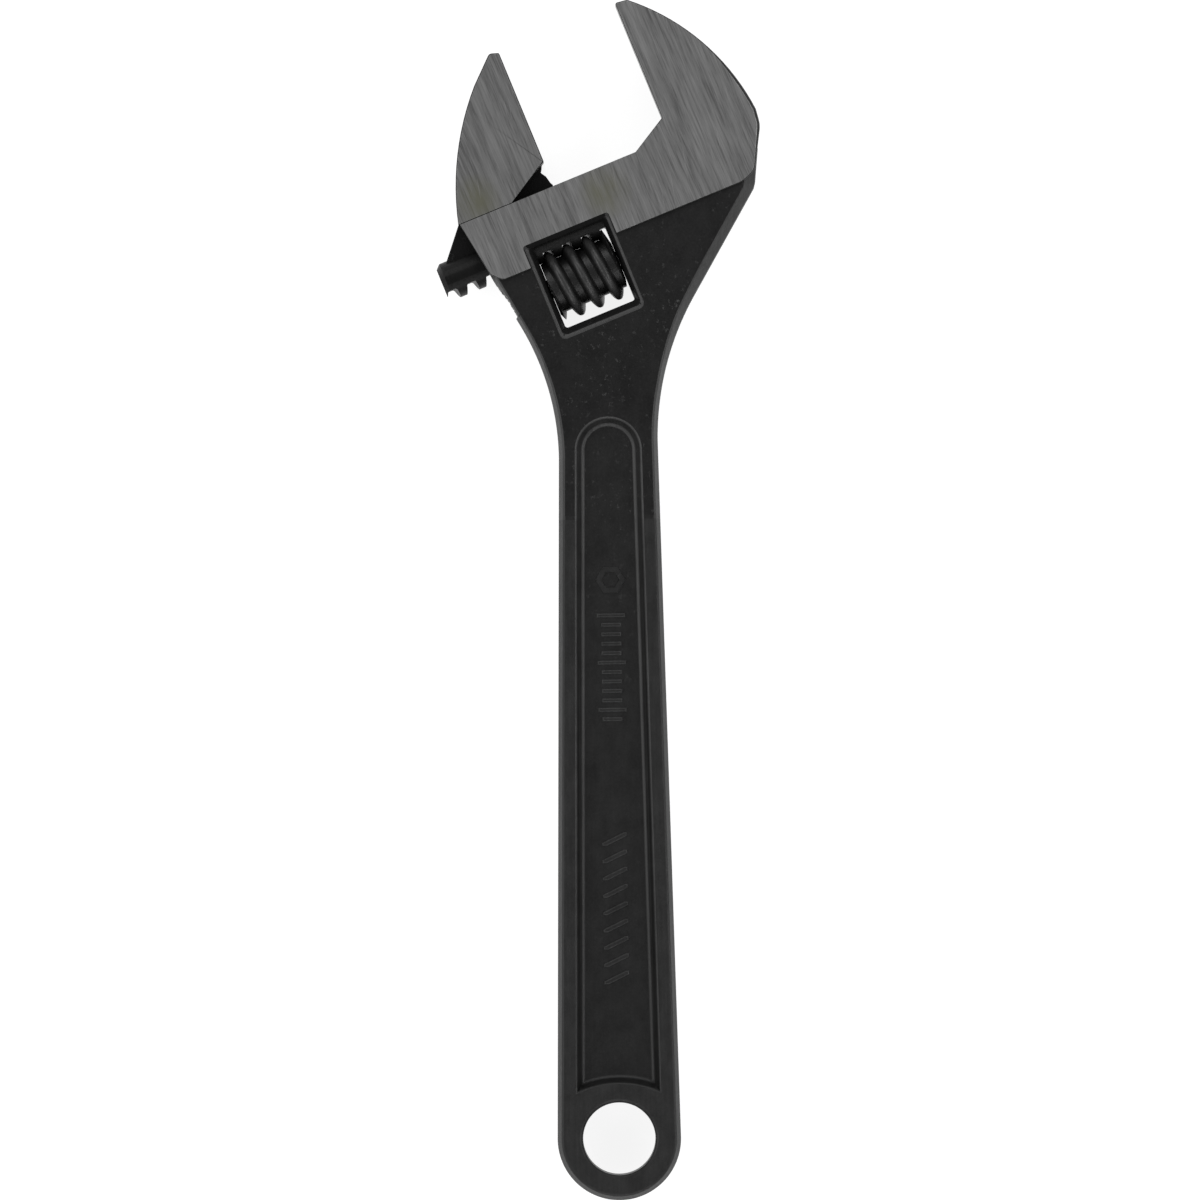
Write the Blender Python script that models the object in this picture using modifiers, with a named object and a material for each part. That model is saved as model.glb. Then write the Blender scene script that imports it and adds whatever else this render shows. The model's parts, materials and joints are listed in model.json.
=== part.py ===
"""Adjustable wrench of the 12 inch size: a forged body, a sliding jaw, and its worm, pin and spring.

Run it with: blender --background --python part.py

Sizes are in millimetres, and MM turns them into Blender's metres.
Handle frame: the origin is the centre of the hanging hole, +Y runs along the handle to the head, +X is
the back of the fixed jaw, and Z goes through the thickness, with the middle plane at 0.
Head frame: turned by HEAD_ANGLE about Z. U runs along the jaw's travel, and is 0 on the fixed jaw's
face. V runs up along the jaw faces, and is 0 on the surface that the moving jaw's foot slides on.
"""

import math

import bmesh
import bpy
from mathutils import Matrix, Vector

MM = 0.001

# Handle
HEAD_AT = (17.0, 254.0)  # the head frame's origin in the handle frame
HEAD_ANGLE = 21.5
HANDLE_END_RADIUS = 15.7
HANGING_HOLE_RADIUS = 9.2
NECK_HALF_WIDTH = 12.6
FRONT_NECK_DROP = 81.0  # below the head: where the front edge leaves the handle's taper
FRONT_NECK_RADIUS = 67.0
BACK_NECK_DROP = 77.0
BACK_NECK_RADIUS = 74.0
FLARE_ANGLE = 30.0  # of the two straight edges that widen into the head
HOLE_HALF_THICKNESS = 6.3  # of the handle at the hanging hole
NECK_HALF_THICKNESS = 7.9
TAPER_TOP_DROP = 96.0  # below the head: the handle thins from here down to the hanging hole
EDGE_WIDTH = 1.2  # drafted forging edge, seen from above
EDGE_DEPTH = 2.6  # and from the side
BLANK_TOP_DEPTH = 9.0  # where the handle's blank ends inside the head, below the sliding surface
BLANK_SETBACK = 0.12  # of the blank's side from the head's side, so that they never coincide

# Recessed panel in each face of the handle
PANEL_TOP_DROP = 79.0  # below the head: centre of its round end
PANEL_TOP_RADIUS = 8.15
PANEL_FOOT_Y = 14.2  # crown of its hollow foot
PANEL_FOOT_RADIUS = 25.0
PANEL_FOOT_HALF_WIDTH = 10.6
PANEL_DEPTH = 3.0
PANEL_WALL_ANGLE = 26.5  # of its walls, from upright

# Head
HEAD_HALF_THICKNESS = 8.9
LAND_DEPTH = 17.3  # the ground land's lower edge, below the sliding surface
JAW_TIP_V = 37.0
JAW_TIP_WIDTH = 3.2
JAW_TIP_DROP = 0.4  # of the tip's slanted end
THROAT_RISE = 5.5
THROAT_ANGLE = 30.0  # a hexagon's flank
JAW_BACK_U = 22.9
JAW_BACK_V = -1.5
JAW_BACK_RADIUS = 57.0
BACK_CORNER_DROP = 12.4  # below the head's origin: where the back edge turns down into the flare
BACK_EDGE_ANGLE = 5.4
BACK_EDGE_HEIGHT = 15.4  # from that corner up to the jaw's round back
LAND_BACK_RISE = 4.0  # from that corner up to the land
LAND_CORNER = 2.6

# Moving jaw, as drawn with this opening
JAW_OPENING = 32.0
JAW_FOOT_WIDTH = 26.2
JAW_TIP_LAND = 2.4
JAW_OUTER_RADIUS = 71.0
JAW_RELIEF_RISE = 6.7
JAW_TIP_RISE = 0.3  # the moving jaw's tip stands this much above the fixed one's
SLIDE_CLEARANCE = 0.25

# Rack bar and the web that joins it to the jaw
BAR_RADIUS = 4.95
BAR_AXIS_DEPTH = 12.05  # below the sliding surface
BAR_FRONT_REACH = 35.7  # from the jaw's face to the bar's front end
BAR_BACK_REACH = 11.0  # from the jaw's face to its back end, past the worm's window
WEB_HALF_THICKNESS = 2.5
WEB_SETBACK = 0.6
WEB_HOLLOW_RADIUS = 1.3  # where the web's front edge meets the sliding surface
WEB_OVERLAP = 3.5  # how far the web runs in under the jaw's outer edge
BAR_END_CHAMFER = 1.2
BAR_BACK_CHAMFER = 0.5
CHANNEL_END_GAP = 1.2  # past the bar's end with the jaws closed
RACK_PITCH = 5.2
RACK_DEPTH = 2.7
RACK_TIP_WIDTH = 1.65
RACK_FLANK_ANGLE = 13.0
FIRST_TOOTH = 0.5  # from the jaw's face back to the first tooth's middle
MESH_CLEARANCE = 0.3

# Worm in its window
WORM_TIP_RADIUS = 9.2
THREAD_DEPTH = 2.95
THREAD_TIP_WIDTH = 1.8
THREAD_FLANK_ANGLE = 15.0
THREAD_TIP_CHAMFER = 0.45
THREAD_SUNK = 0.8  # how far the rib's foot is sunk into the core
THREAD_TRIM = 0.04  # the rib is cut this much shorter than the core at each end
WORM_END_RADIUS = 4.9
WORM_END_RUN = 1.6
WINDOW_BACK_U = -23.9
WINDOW_WIDTH = 19.0
WINDOW_TOP_V = -11.3
WINDOW_FOOT_GAP = 1.6  # below the worm
WINDOW_BEVEL_DEPTH = 2.2
WINDOW_BEVEL_ANGLE = 31.0  # from upright
WORM_END_CLEARANCE = 0.3

# Pin and spring
PIN_RADIUS = 2.5
PIN_CLEARANCE = 0.12
PIN_HEAD_RADIUS = 3.0
PIN_HEAD_LENGTH = 7.5
PIN_SEAT_DEPTH = 7.7  # of its blind bore past the window's back wall
PIN_END_GAP = 0.5  # to the bore's end
PIN_STEP_GAP = 0.2  # to the spot-face and to the thread's end
PIN_BEVEL = 0.4
PIN_SLOT_WIDTH = 1.0
PIN_SLOT_DEPTH = 1.3
SPOT_FACE_RADIUS = 5.2
SPOT_FACE_DEPTH = 0.9
SPRING_WIRE = 0.7
SPRING_COILS = 4.5
SPRING_POCKET_DEPTH = 6.0
SPRING_GAP = 0.35  # round the wire, inside and out
SPRING_END_GAP = 0.3

# Facets
CUT_OVERRUN = 4.0  # how far cutters reach past what they cut
ROUND_STEPS = 32
THREAD_STEPS = 24
COIL_STEPS = 14
ARC_STEP = 7.5  # degrees

# Worked out from the above
FRONT_NECK_Y = HEAD_AT[1] - FRONT_NECK_DROP
BACK_NECK_Y = HEAD_AT[1] - BACK_NECK_DROP
TAPER_TOP_Y = HEAD_AT[1] - TAPER_TOP_DROP
PANEL_TOP_Y = HEAD_AT[1] - PANEL_TOP_DROP
BACK_CORNER_Y = HEAD_AT[1] - BACK_CORNER_DROP
SLIDE_FACE = -JAW_OPENING
BAR_V = -BAR_AXIS_DEPTH
RACK_TIP_V = BAR_V - BAR_RADIUS
RACK_ROOT_V = RACK_TIP_V + RACK_DEPTH
WORM_V = RACK_ROOT_V - MESH_CLEARANCE - WORM_TIP_RADIUS
WORM_ROOT_RADIUS = WORM_TIP_RADIUS - THREAD_DEPTH
WINDOW_FRONT_U = WINDOW_BACK_U - WINDOW_WIDTH
WINDOW_FOOT_V = WORM_V - WORM_TIP_RADIUS - WINDOW_FOOT_GAP
WORM_U = (WINDOW_FRONT_U + WINDOW_BACK_U) / 2
WORM_LENGTH = WINDOW_WIDTH - 2 * WORM_END_CLEARANCE
FLARE = math.radians(FLARE_ANGLE)
TURN = math.radians(HEAD_ANGLE)


def remove_everything():
    for obj in list(bpy.data.objects):
        bpy.data.objects.remove(obj)


def new_collection(name):
    made = bpy.data.collections.new(name)
    bpy.context.scene.collection.children.link(made)
    return made


def to_head(x, y):
    """A handle-frame point in the head frame."""
    dx, dy = x - HEAD_AT[0], y - HEAD_AT[1]
    return dx * math.cos(TURN) + dy * math.sin(TURN), dy * math.cos(TURN) - dx * math.sin(TURN)


def arc(centre, radius, start, end):
    """Points from the start angle to the end angle, in degrees, both ends included."""
    steps = max(2, math.ceil(abs(end - start) / ARC_STEP))
    angles = [math.radians(start + (end - start) * i / steps) for i in range(steps + 1)]
    return [(centre[0] + radius * math.cos(a), centre[1] + radius * math.sin(a)) for a in angles]


def bulge(start, end, radius):
    """An arc from start to end that bows to the left of the way it goes."""
    middle = Vector(((start[0] + end[0]) / 2, (start[1] + end[1]) / 2))
    chord = Vector((end[0] - start[0], end[1] - start[1]))
    right = Vector((chord.y, -chord.x)).normalized()
    centre = middle + right * math.sqrt(radius**2 - (chord.length / 2) ** 2)
    first = math.degrees(math.atan2(start[1] - centre.y, start[0] - centre.x))
    last = math.degrees(math.atan2(end[1] - centre.y, end[0] - centre.x))
    sweep = (last - first + 180) % 360 - 180
    return arc(centre, radius, first, first + sweep)


def mesh_object(name, mesh, group):
    obj = bpy.data.objects.new(name, mesh)
    group.objects.link(obj)
    return obj


def plate(name, outline, half_thickness, group):
    """A flat plate: a filled and extruded outline, made a mesh with its caps welded."""
    curve = bpy.data.curves.new(name, "CURVE")
    curve.dimensions = "2D"
    curve.fill_mode = "BOTH"
    curve.extrude = half_thickness * MM
    spline = curve.splines.new("POLY")
    spline.points.add(len(outline) - 1)
    for point, (x, y) in zip(spline.points, outline):
        point.co = (x * MM, y * MM, 0, 1)
    spline.use_cyclic_u = True
    source = bpy.data.objects.new(name + "_outline", curve)
    group.objects.link(source)
    graph = bpy.context.evaluated_depsgraph_get()
    mesh = bpy.data.meshes.new_from_object(source.evaluated_get(graph))
    bpy.data.objects.remove(source)
    form = bmesh.new()
    form.from_mesh(mesh)
    bmesh.ops.remove_doubles(form, verts=form.verts, dist=1e-6)
    bmesh.ops.recalc_face_normals(form, faces=form.faces)
    form.to_mesh(mesh)
    form.free()
    return mesh_object(name, mesh, group)


def loft(name, rings, group):
    """A closed solid through rings of equally many (x, y, z) points, capped at both ends."""
    form = bmesh.new()
    rows = [[form.verts.new([c * MM for c in point]) for point in ring] for ring in rings]
    for low, high in zip(rows, rows[1:]):
        for i in range(len(low)):
            j = (i + 1) % len(low)
            form.faces.new((low[i], low[j], high[j], high[i]))
    form.faces.new(rows[0])
    form.faces.new(rows[-1])
    bmesh.ops.triangulate(form, faces=form.faces)
    bmesh.ops.recalc_face_normals(form, faces=form.faces)
    mesh = bpy.data.meshes.new(name)
    form.to_mesh(mesh)
    form.free()
    return mesh_object(name, mesh, group)


def turned(name, profile, group):
    """A profile of (radius, height) points, listed from the top down, turned about Z."""
    mesh = bpy.data.meshes.new(name)
    points = [(radius * MM, 0, height * MM) for radius, height in profile]
    mesh.from_pydata(points, [(i, i + 1) for i in range(len(points) - 1)], [])
    obj = mesh_object(name, mesh, group)
    screw = obj.modifiers.new("Turn", "SCREW")
    screw.steps = screw.render_steps = ROUND_STEPS
    screw.use_merge_vertices = True
    screw.merge_threshold = 0.00001
    return obj


def stepped(name, top, steps, group):
    """A stepped round bar or bore, from its top down. Each step is a radius and the height of its foot."""
    profile = [(0, top)]
    level = top
    for radius, foot in steps:
        profile += [(radius, level), (radius, foot)]
        level = foot
    return turned(name, [*profile, (0, level)], group)


def round_bar(name, radius, start, end, group):
    return stepped(name, end, [(radius, start)], group)


def box(name, low, high, group):
    form = bmesh.new()
    bmesh.ops.create_cube(form, size=MM)
    size = Vector(high) - Vector(low)
    middle = (Vector(high) + Vector(low)) / 2 * MM
    stretch = Matrix.Translation(middle) @ Matrix.Diagonal((*size, 1))
    bmesh.ops.transform(form, matrix=stretch, verts=form.verts)
    mesh = bpy.data.meshes.new(name)
    form.to_mesh(mesh)
    form.free()
    return mesh_object(name, mesh, group)


def place(obj, parent, at=(0, 0, 0), turn=(0, 0, 0)):
    """Parents obj and places it, in millimetres and degrees."""
    obj.parent = parent
    obj.location = Vector(at) * MM
    obj.rotation_euler = [math.radians(angle) for angle in turn]
    return obj


def along_u(obj, parent, u, v):
    """Lays a piece that is turned about its own Z along the jaw's travel."""
    return place(obj, parent, (u, v, 0), (0, 90, 0))


def combine(target, tool, operation):
    boolean = target.modifiers.new(tool.name, "BOOLEAN")
    boolean.operation = operation
    boolean.object = tool
    tool.hide_render = True
    tool.display_type = "WIRE"


def finish(obj, colour, roughness, metallic):
    material = bpy.data.materials.new(obj.name + "_finish")
    material.use_nodes = True
    shader = material.node_tree.nodes["Principled BSDF"]
    shader.inputs["Base Color"].default_value = (*colour, 1)
    shader.inputs["Roughness"].default_value = roughness
    shader.inputs["Metallic"].default_value = metallic
    material.diffuse_color = (*colour, 1)
    obj.data.materials.clear()
    obj.data.materials.append(material)


def flare_x(y, neck_y, radius):
    """Half width of the handle on one side: round end, taper, neck arc, then the straight flare."""
    if y < 0:
        return math.sqrt(max(HANDLE_END_RADIUS**2 - y**2, 0.0))
    if y < neck_y:
        return HANDLE_END_RADIUS + (NECK_HALF_WIDTH - HANDLE_END_RADIUS) * y / neck_y
    rise = y - neck_y
    if rise < radius * math.sin(FLARE):
        return NECK_HALF_WIDTH + radius - math.sqrt(radius**2 - rise**2)
    past = rise - radius * math.sin(FLARE)
    return NECK_HALF_WIDTH + radius * (1 - math.cos(FLARE)) + past * math.tan(FLARE)


def front_x(y):
    return -flare_x(y, FRONT_NECK_Y, FRONT_NECK_RADIUS)


def back_x(y):
    """The back edge flares, then stands nearly straight above its corner."""
    flared = flare_x(min(y, BACK_CORNER_Y), BACK_NECK_Y, BACK_NECK_RADIUS)
    return flared + max(y - BACK_CORNER_Y, 0) * math.tan(math.radians(BACK_EDGE_ANGLE))


def front_edge_y(v):
    """Y where the front flare crosses a line of constant V."""
    low, high = FRONT_NECK_Y, HEAD_AT[1]
    for _ in range(60):
        y = (low + high) / 2
        if to_head(front_x(y), y)[1] < v:
            low = y
        else:
            high = y
    return low


def front_edge_at(v):
    """The same crossing, in the head frame."""
    y = front_edge_y(v)
    return to_head(front_x(y), y)


def tapered_half(y):
    """Half thickness of the tapering handle, carried on past its top."""
    return HOLE_HALF_THICKNESS + (NECK_HALF_THICKNESS - HOLE_HALF_THICKNESS) * y / TAPER_TOP_Y


def half_thickness(y):
    return min(tapered_half(y), NECK_HALF_THICKNESS)


def handle_section(y, left, right):
    """One ring across the handle: flat faces, and drafted edges down to a short upright side."""
    half = half_thickness(y)
    side = half - EDGE_DEPTH
    run = min(EDGE_WIDTH, (right - left) / 3)
    return [
        (left, y, -side),
        (left + run, y, -half),
        (right - run, y, -half),
        (right, y, -side),
        (right, y, side),
        (right - run, y, half),
        (left + run, y, half),
        (left, y, side),
    ]


def blank_front_x(y):
    """The front edge of the handle's blank: the flare, or the slanted top that it ends in, in the head."""
    drop = (HEAD_AT[1] - y) * math.cos(TURN) - BLANK_TOP_DEPTH
    edge = front_x(y) + (BLANK_SETBACK if y > front_edge_y(LAND_CORNER - LAND_DEPTH) else 0)
    return max(edge, HEAD_AT[0] - drop / math.sin(TURN))


def blank_back_x(y):
    return back_x(y) - (BLANK_SETBACK if y > BACK_CORNER_Y - BLANK_SETBACK else 0)


def handle_levels():
    """Heights of the handle's sections: close together round its end and where its edges curve."""
    end = [-HANDLE_END_RADIUS * math.cos(math.radians(a)) for a in range(8, 90, 9)]
    neck = min(FRONT_NECK_Y, BACK_NECK_Y)
    top = neck
    while blank_back_x(top) - blank_front_x(top) > 4 * EDGE_WIDTH:
        top += 0.5
    steps = 24
    return end + [0.0, TAPER_TOP_Y] + [neck + (top - neck) * i / steps for i in range(steps + 1)]


def handle_blank(name, group):
    """The forging up to a slanted top that stops inside the head."""
    rings = [handle_section(y, blank_front_x(y), blank_back_x(y)) for y in handle_levels()]
    return loft(name, rings, group)


def panel_outline(inset):
    """The panel's outline, inset all round: round top, tapered sides, and a foot bowed up over the hole."""
    radius = PANEL_FOOT_RADIUS + inset
    corner = math.degrees(math.acos((PANEL_FOOT_HALF_WIDTH - inset) / radius))
    foot = arc((0, PANEL_FOOT_Y - PANEL_FOOT_RADIUS), radius, 180 - corner, corner)
    return arc((0, PANEL_TOP_Y), PANEL_TOP_RADIUS - inset, 0, 180) + foot


def panel_cutter(name, side, group):
    """A pan with sloped walls, for one face of the handle. side is 1 on top and -1 underneath."""
    slope = math.tan(math.radians(PANEL_WALL_ANGLE))
    rings = []
    for rise in (-PANEL_DEPTH, CUT_OVERRUN / 2):
        rings.append([(x, y, side * (tapered_half(y) + rise)) for x, y in panel_outline(-rise * slope)])
    return loft(name, rings, group)


def head_outline():
    """The ground head: fixed jaw, throat, sliding surface and the land below it, in the head frame."""
    throat_run = THROAT_RISE / math.tan(math.radians(THROAT_ANGLE))
    tip_end = (JAW_TIP_WIDTH, JAW_TIP_V - JAW_TIP_DROP)
    back = bulge(tip_end, (JAW_BACK_U, JAW_BACK_V), JAW_BACK_RADIUS)
    shoulder, low = [
        to_head(back_x(y), y) for y in (BACK_CORNER_Y + BACK_EDGE_HEIGHT, BACK_CORNER_Y + LAND_BACK_RISE)
    ]
    front_top = front_edge_at(0)
    front_low = front_edge_at(LAND_CORNER - LAND_DEPTH)
    return [
        front_top,
        (-throat_run, 0),
        (0, THROAT_RISE),
        (0, JAW_TIP_V),
        *back,
        shoulder,
        low,
        (low[0] - LAND_CORNER * 1.5, -LAND_DEPTH),
        (front_low[0] + LAND_CORNER, -LAND_DEPTH),
        front_low,
    ]


def window_cutter(group):
    """The worm's window right through the head, flaring at both faces on every side but its top."""

    def outline(grow, height):
        foot_v = WINDOW_FOOT_V - grow
        front, back = WINDOW_FRONT_U - grow, WINDOW_BACK_U + grow
        corners = ((front, foot_v), (back, foot_v), (back, WINDOW_TOP_V), (front, WINDOW_TOP_V))
        return [(u, v, height) for u, v in corners]

    inner = NECK_HALF_THICKNESS - WINDOW_BEVEL_DEPTH
    outer = HEAD_HALF_THICKNESS + CUT_OVERRUN
    flare = (outer - inner) * math.tan(math.radians(WINDOW_BEVEL_ANGLE))
    rings = [outline(flare, -outer), outline(0, -inner), outline(0, inner), outline(flare, outer)]
    return loft("worm_window", rings, group)


def pin_ends():
    """U of the pin's slotted end and of its far end."""
    edge = front_edge_at(WORM_V)[0]
    return edge + SPOT_FACE_DEPTH + PIN_STEP_GAP, WINDOW_BACK_U + PIN_SEAT_DEPTH - PIN_END_GAP


def wrench_body(parent, head, parts, tools):
    """The forging with the fixed jaw, and everything machined into it."""
    body = place(handle_blank("wrench_body", parts), parent)
    upper = place(plate("head_blank", head_outline(), HEAD_HALF_THICKNESS, tools), head)
    combine(body, upper, "UNION")

    reach = HEAD_HALF_THICKNESS + CUT_OVERRUN
    cutters = [
        place(round_bar("hanging_hole", HANGING_HOLE_RADIUS, -reach, reach, tools), parent),
        place(panel_cutter("panel_top", 1, tools), parent),
        place(panel_cutter("panel_under", -1, tools), parent),
        place(window_cutter(tools), head),
    ]

    front = front_edge_at(0)[0] - CUT_OVERRUN
    channel_end = CHANNEL_END_GAP + BAR_BACK_REACH
    channel = round_bar("rack_channel", BAR_RADIUS + SLIDE_CLEARANCE, front, channel_end, tools)
    cutters.append(along_u(channel, head, 0, BAR_V))
    slot_half = WEB_HALF_THICKNESS + SLIDE_CLEARANCE
    slot_low = (front, BAR_V, -slot_half)
    slot_high = (2 * SLIDE_CLEARANCE - WEB_SETBACK, JAW_RELIEF_RISE + 2 * SLIDE_CLEARANCE, slot_half)
    cutters.append(place(box("web_slot", slot_low, slot_high, tools), head))

    start, end = pin_ends()
    seat = start - PIN_STEP_GAP
    bore_steps = [
        (PIN_RADIUS + PIN_CLEARANCE, start + PIN_HEAD_LENGTH + PIN_STEP_GAP),
        (PIN_HEAD_RADIUS + PIN_CLEARANCE, seat),
        (SPOT_FACE_RADIUS, seat - SPOT_FACE_DEPTH - 3 * CUT_OVERRUN),
    ]
    cutters.append(along_u(stepped("pin_bore", end + PIN_END_GAP, bore_steps, tools), head, 0, WORM_V))
    for cutter in cutters:
        combine(body, cutter, "DIFFERENCE")
    finish(body, (0.035, 0.035, 0.037), 0.45, 0.5)
    return body


def jaw_outline():
    """The moving jaw's plate, in the head frame, with its face at SLIDE_FACE."""
    foot_v = SLIDE_CLEARANCE
    relief_run = (JAW_RELIEF_RISE - foot_v) / math.tan(math.radians(THROAT_ANGLE))
    outer_foot = (SLIDE_FACE - JAW_FOOT_WIDTH, foot_v)
    tip = (SLIDE_FACE - JAW_TIP_LAND, JAW_TIP_V + JAW_TIP_RISE)
    return [
        *bulge(outer_foot, tip, JAW_OUTER_RADIUS),
        (SLIDE_FACE, JAW_TIP_V + JAW_TIP_RISE - 2 * JAW_TIP_DROP),
        (SLIDE_FACE, JAW_RELIEF_RISE),
        (SLIDE_FACE - relief_run, foot_v),
    ]


def web_outline():
    """The tongue between the plate and the rack bar."""
    outer = SLIDE_FACE - JAW_FOOT_WIDTH
    bar_front = SLIDE_FACE - BAR_FRONT_REACH + BAR_END_CHAMFER
    toe = SLIDE_FACE - WEB_SETBACK
    hollow = arc((toe, WEB_HOLLOW_RADIUS), WEB_HOLLOW_RADIUS, 180, 270)
    return [
        (bar_front, BAR_V),
        (bar_front, BAR_V + BAR_RADIUS / 2),
        (outer, SLIDE_CLEARANCE / 2),
        (outer + WEB_OVERLAP, JAW_RELIEF_RISE),
        (toe, JAW_RELIEF_RISE),
        *hollow,
        (toe, BAR_V),
    ]


def rack_gap(name, group):
    """One gap between rack teeth, pointing down from the root, long enough to cross the bar."""
    slope = math.tan(math.radians(RACK_FLANK_ANGLE))
    root = RACK_PITCH - RACK_TIP_WIDTH - 2 * RACK_DEPTH * slope
    foot = RACK_DEPTH + CUT_OVERRUN / 2
    mouth = root + 2 * foot * slope
    outline = [(-root / 2, 0), (-mouth / 2, -foot), (mouth / 2, -foot), (root / 2, 0)]
    return plate(name, outline, 2 * BAR_RADIUS, group)


def helix_angle():
    mean_radius = (WORM_TIP_RADIUS + WORM_ROOT_RADIUS) / 2
    return math.degrees(math.atan(RACK_PITCH / (2 * math.pi * mean_radius)))


def movable_jaw(head, parts, tools):
    """Jaw plate, web and toothed bar in one piece. Its origin is on the bar's axis, under the jaw's face."""
    home = (SLIDE_FACE, BAR_V)

    def local(outline):
        return [(u - home[0], v - home[1]) for u, v in outline]

    jaw = plate("movable_jaw", local(jaw_outline()), HEAD_HALF_THICKNESS, parts)
    place(jaw, head, (*home, 0))
    web = place(plate("jaw_web", local(web_outline()), WEB_HALF_THICKNESS, tools), jaw)
    bar_end = BAR_BACK_REACH
    bar_front = -BAR_FRONT_REACH
    profile = [
        (0, bar_end),
        (BAR_RADIUS - BAR_BACK_CHAMFER, bar_end),
        (BAR_RADIUS, bar_end - BAR_BACK_CHAMFER),
        (BAR_RADIUS, bar_front + BAR_END_CHAMFER),
        (BAR_RADIUS - BAR_END_CHAMFER, bar_front),
        (0, bar_front),
    ]
    bar = along_u(turned("rack_bar", profile, tools), jaw, 0, 0)
    combine(jaw, web, "UNION")
    combine(jaw, bar, "UNION")
    first = RACK_PITCH / 2 - FIRST_TOOTH + RACK_PITCH * math.floor(BAR_BACK_REACH / RACK_PITCH)
    gaps = math.ceil((first + BAR_FRONT_REACH) / RACK_PITCH)
    for i in range(gaps):
        u = first - i * RACK_PITCH
        gap = rack_gap(f"rack_gap_{i + 1}", tools)
        place(gap, jaw, (u, RACK_ROOT_V - BAR_V, 0), (0, helix_angle(), 0))
        combine(jaw, gap, "DIFFERENCE")
    finish(jaw, (0.13, 0.13, 0.13), 0.4, 0.8)
    return jaw


def thread_rib(name, start, turns, group):
    """The worm's helical rib as a closed sweep that starts at a height of start, on the +X side."""
    half_tip = THREAD_TIP_WIDTH / 2
    slope = math.tan(math.radians(THREAD_FLANK_ANGLE))
    half_root = half_tip + (THREAD_DEPTH + THREAD_SUNK) * slope
    chamfer = THREAD_TIP_CHAMFER
    section = [
        (WORM_ROOT_RADIUS - THREAD_SUNK, half_root),
        (WORM_TIP_RADIUS - chamfer, half_tip + chamfer * slope),
        (WORM_TIP_RADIUS, half_tip - chamfer),
        (WORM_TIP_RADIUS, chamfer - half_tip),
        (WORM_TIP_RADIUS - chamfer, -half_tip - chamfer * slope),
        (WORM_ROOT_RADIUS - THREAD_SUNK, -half_root),
    ]
    mesh = bpy.data.meshes.new(name)
    points = [(radius * MM, 0, (start + height) * MM) for radius, height in section]
    mesh.from_pydata(points, [(i, (i + 1) % len(points)) for i in range(len(points))], [])
    sweep = mesh_object(name + "_sweep", mesh, group)
    screw = sweep.modifiers.new("Helix", "SCREW")
    screw.steps = screw.render_steps = THREAD_STEPS
    screw.iterations = turns
    screw.screw_offset = RACK_PITCH * MM
    screw.use_merge_vertices = False
    graph = bpy.context.evaluated_depsgraph_get()
    swept = bpy.data.meshes.new_from_object(sweep.evaluated_get(graph))
    bpy.data.objects.remove(sweep)
    form = bmesh.new()
    form.from_mesh(swept)
    bmesh.ops.remove_doubles(form, verts=form.verts, dist=1e-7)
    bmesh.ops.holes_fill(form, edges=form.edges, sides=len(section))
    bmesh.ops.triangulate(form, faces=form.faces)
    bmesh.ops.recalc_face_normals(form, faces=form.faces)
    form.to_mesh(swept)
    form.free()
    return mesh_object(name, swept, group)


def worm_profile(radius, half):
    """Half section of a bar with the worm's coned ends, from its back end to its front end."""
    slope = WORM_END_RUN / (WORM_TIP_RADIUS - WORM_END_RADIUS)
    shoulder = half - (radius - WORM_END_RADIUS) * slope
    return [
        (0, half),
        (WORM_END_RADIUS, half),
        (radius, shoulder),
        (radius, -shoulder),
        (WORM_END_RADIUS, -half),
        (0, -half),
    ]


def adjusting_worm(head, parts, tools):
    """The knurl: a core and one right-hand rib, bored for the pin, with a pocket for the spring."""
    half = WORM_LENGTH / 2
    worm = turned("adjusting_worm", worm_profile(WORM_ROOT_RADIUS, half), parts)
    along_u(worm, head, WORM_U, WORM_V)
    # The rib is level with the rack's teeth on the far side from the rack, a quarter turn past +X.
    tooth = SLIDE_FACE - FIRST_TOOTH - WORM_U
    start = (tooth + RACK_PITCH / 4) % RACK_PITCH
    while start > -half - RACK_PITCH:
        start -= RACK_PITCH
    turns = math.ceil((half - start) / RACK_PITCH) + 1
    rib = place(thread_rib("worm_thread", start, turns, tools), worm)
    trim = worm_profile(WORM_TIP_RADIUS + THREAD_SUNK, half - THREAD_TRIM)
    combine(rib, place(turned("worm_envelope", trim, tools), worm), "INTERSECT")
    combine(worm, rib, "UNION")
    reach = half + CUT_OVERRUN
    bore_steps = [(PIN_RADIUS + PIN_CLEARANCE, SPRING_POCKET_DEPTH - half), (pocket_radius(), -reach)]
    combine(worm, place(stepped("worm_bore", reach, bore_steps, tools), worm), "DIFFERENCE")
    finish(worm, (0.03, 0.03, 0.03), 0.4, 0.6)
    return worm


def spring_radius():
    """Of the coil's wire centreline."""
    return PIN_RADIUS + SPRING_GAP + SPRING_WIRE / 2


def pocket_radius():
    return spring_radius() + SPRING_WIRE / 2 + SPRING_GAP


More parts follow.
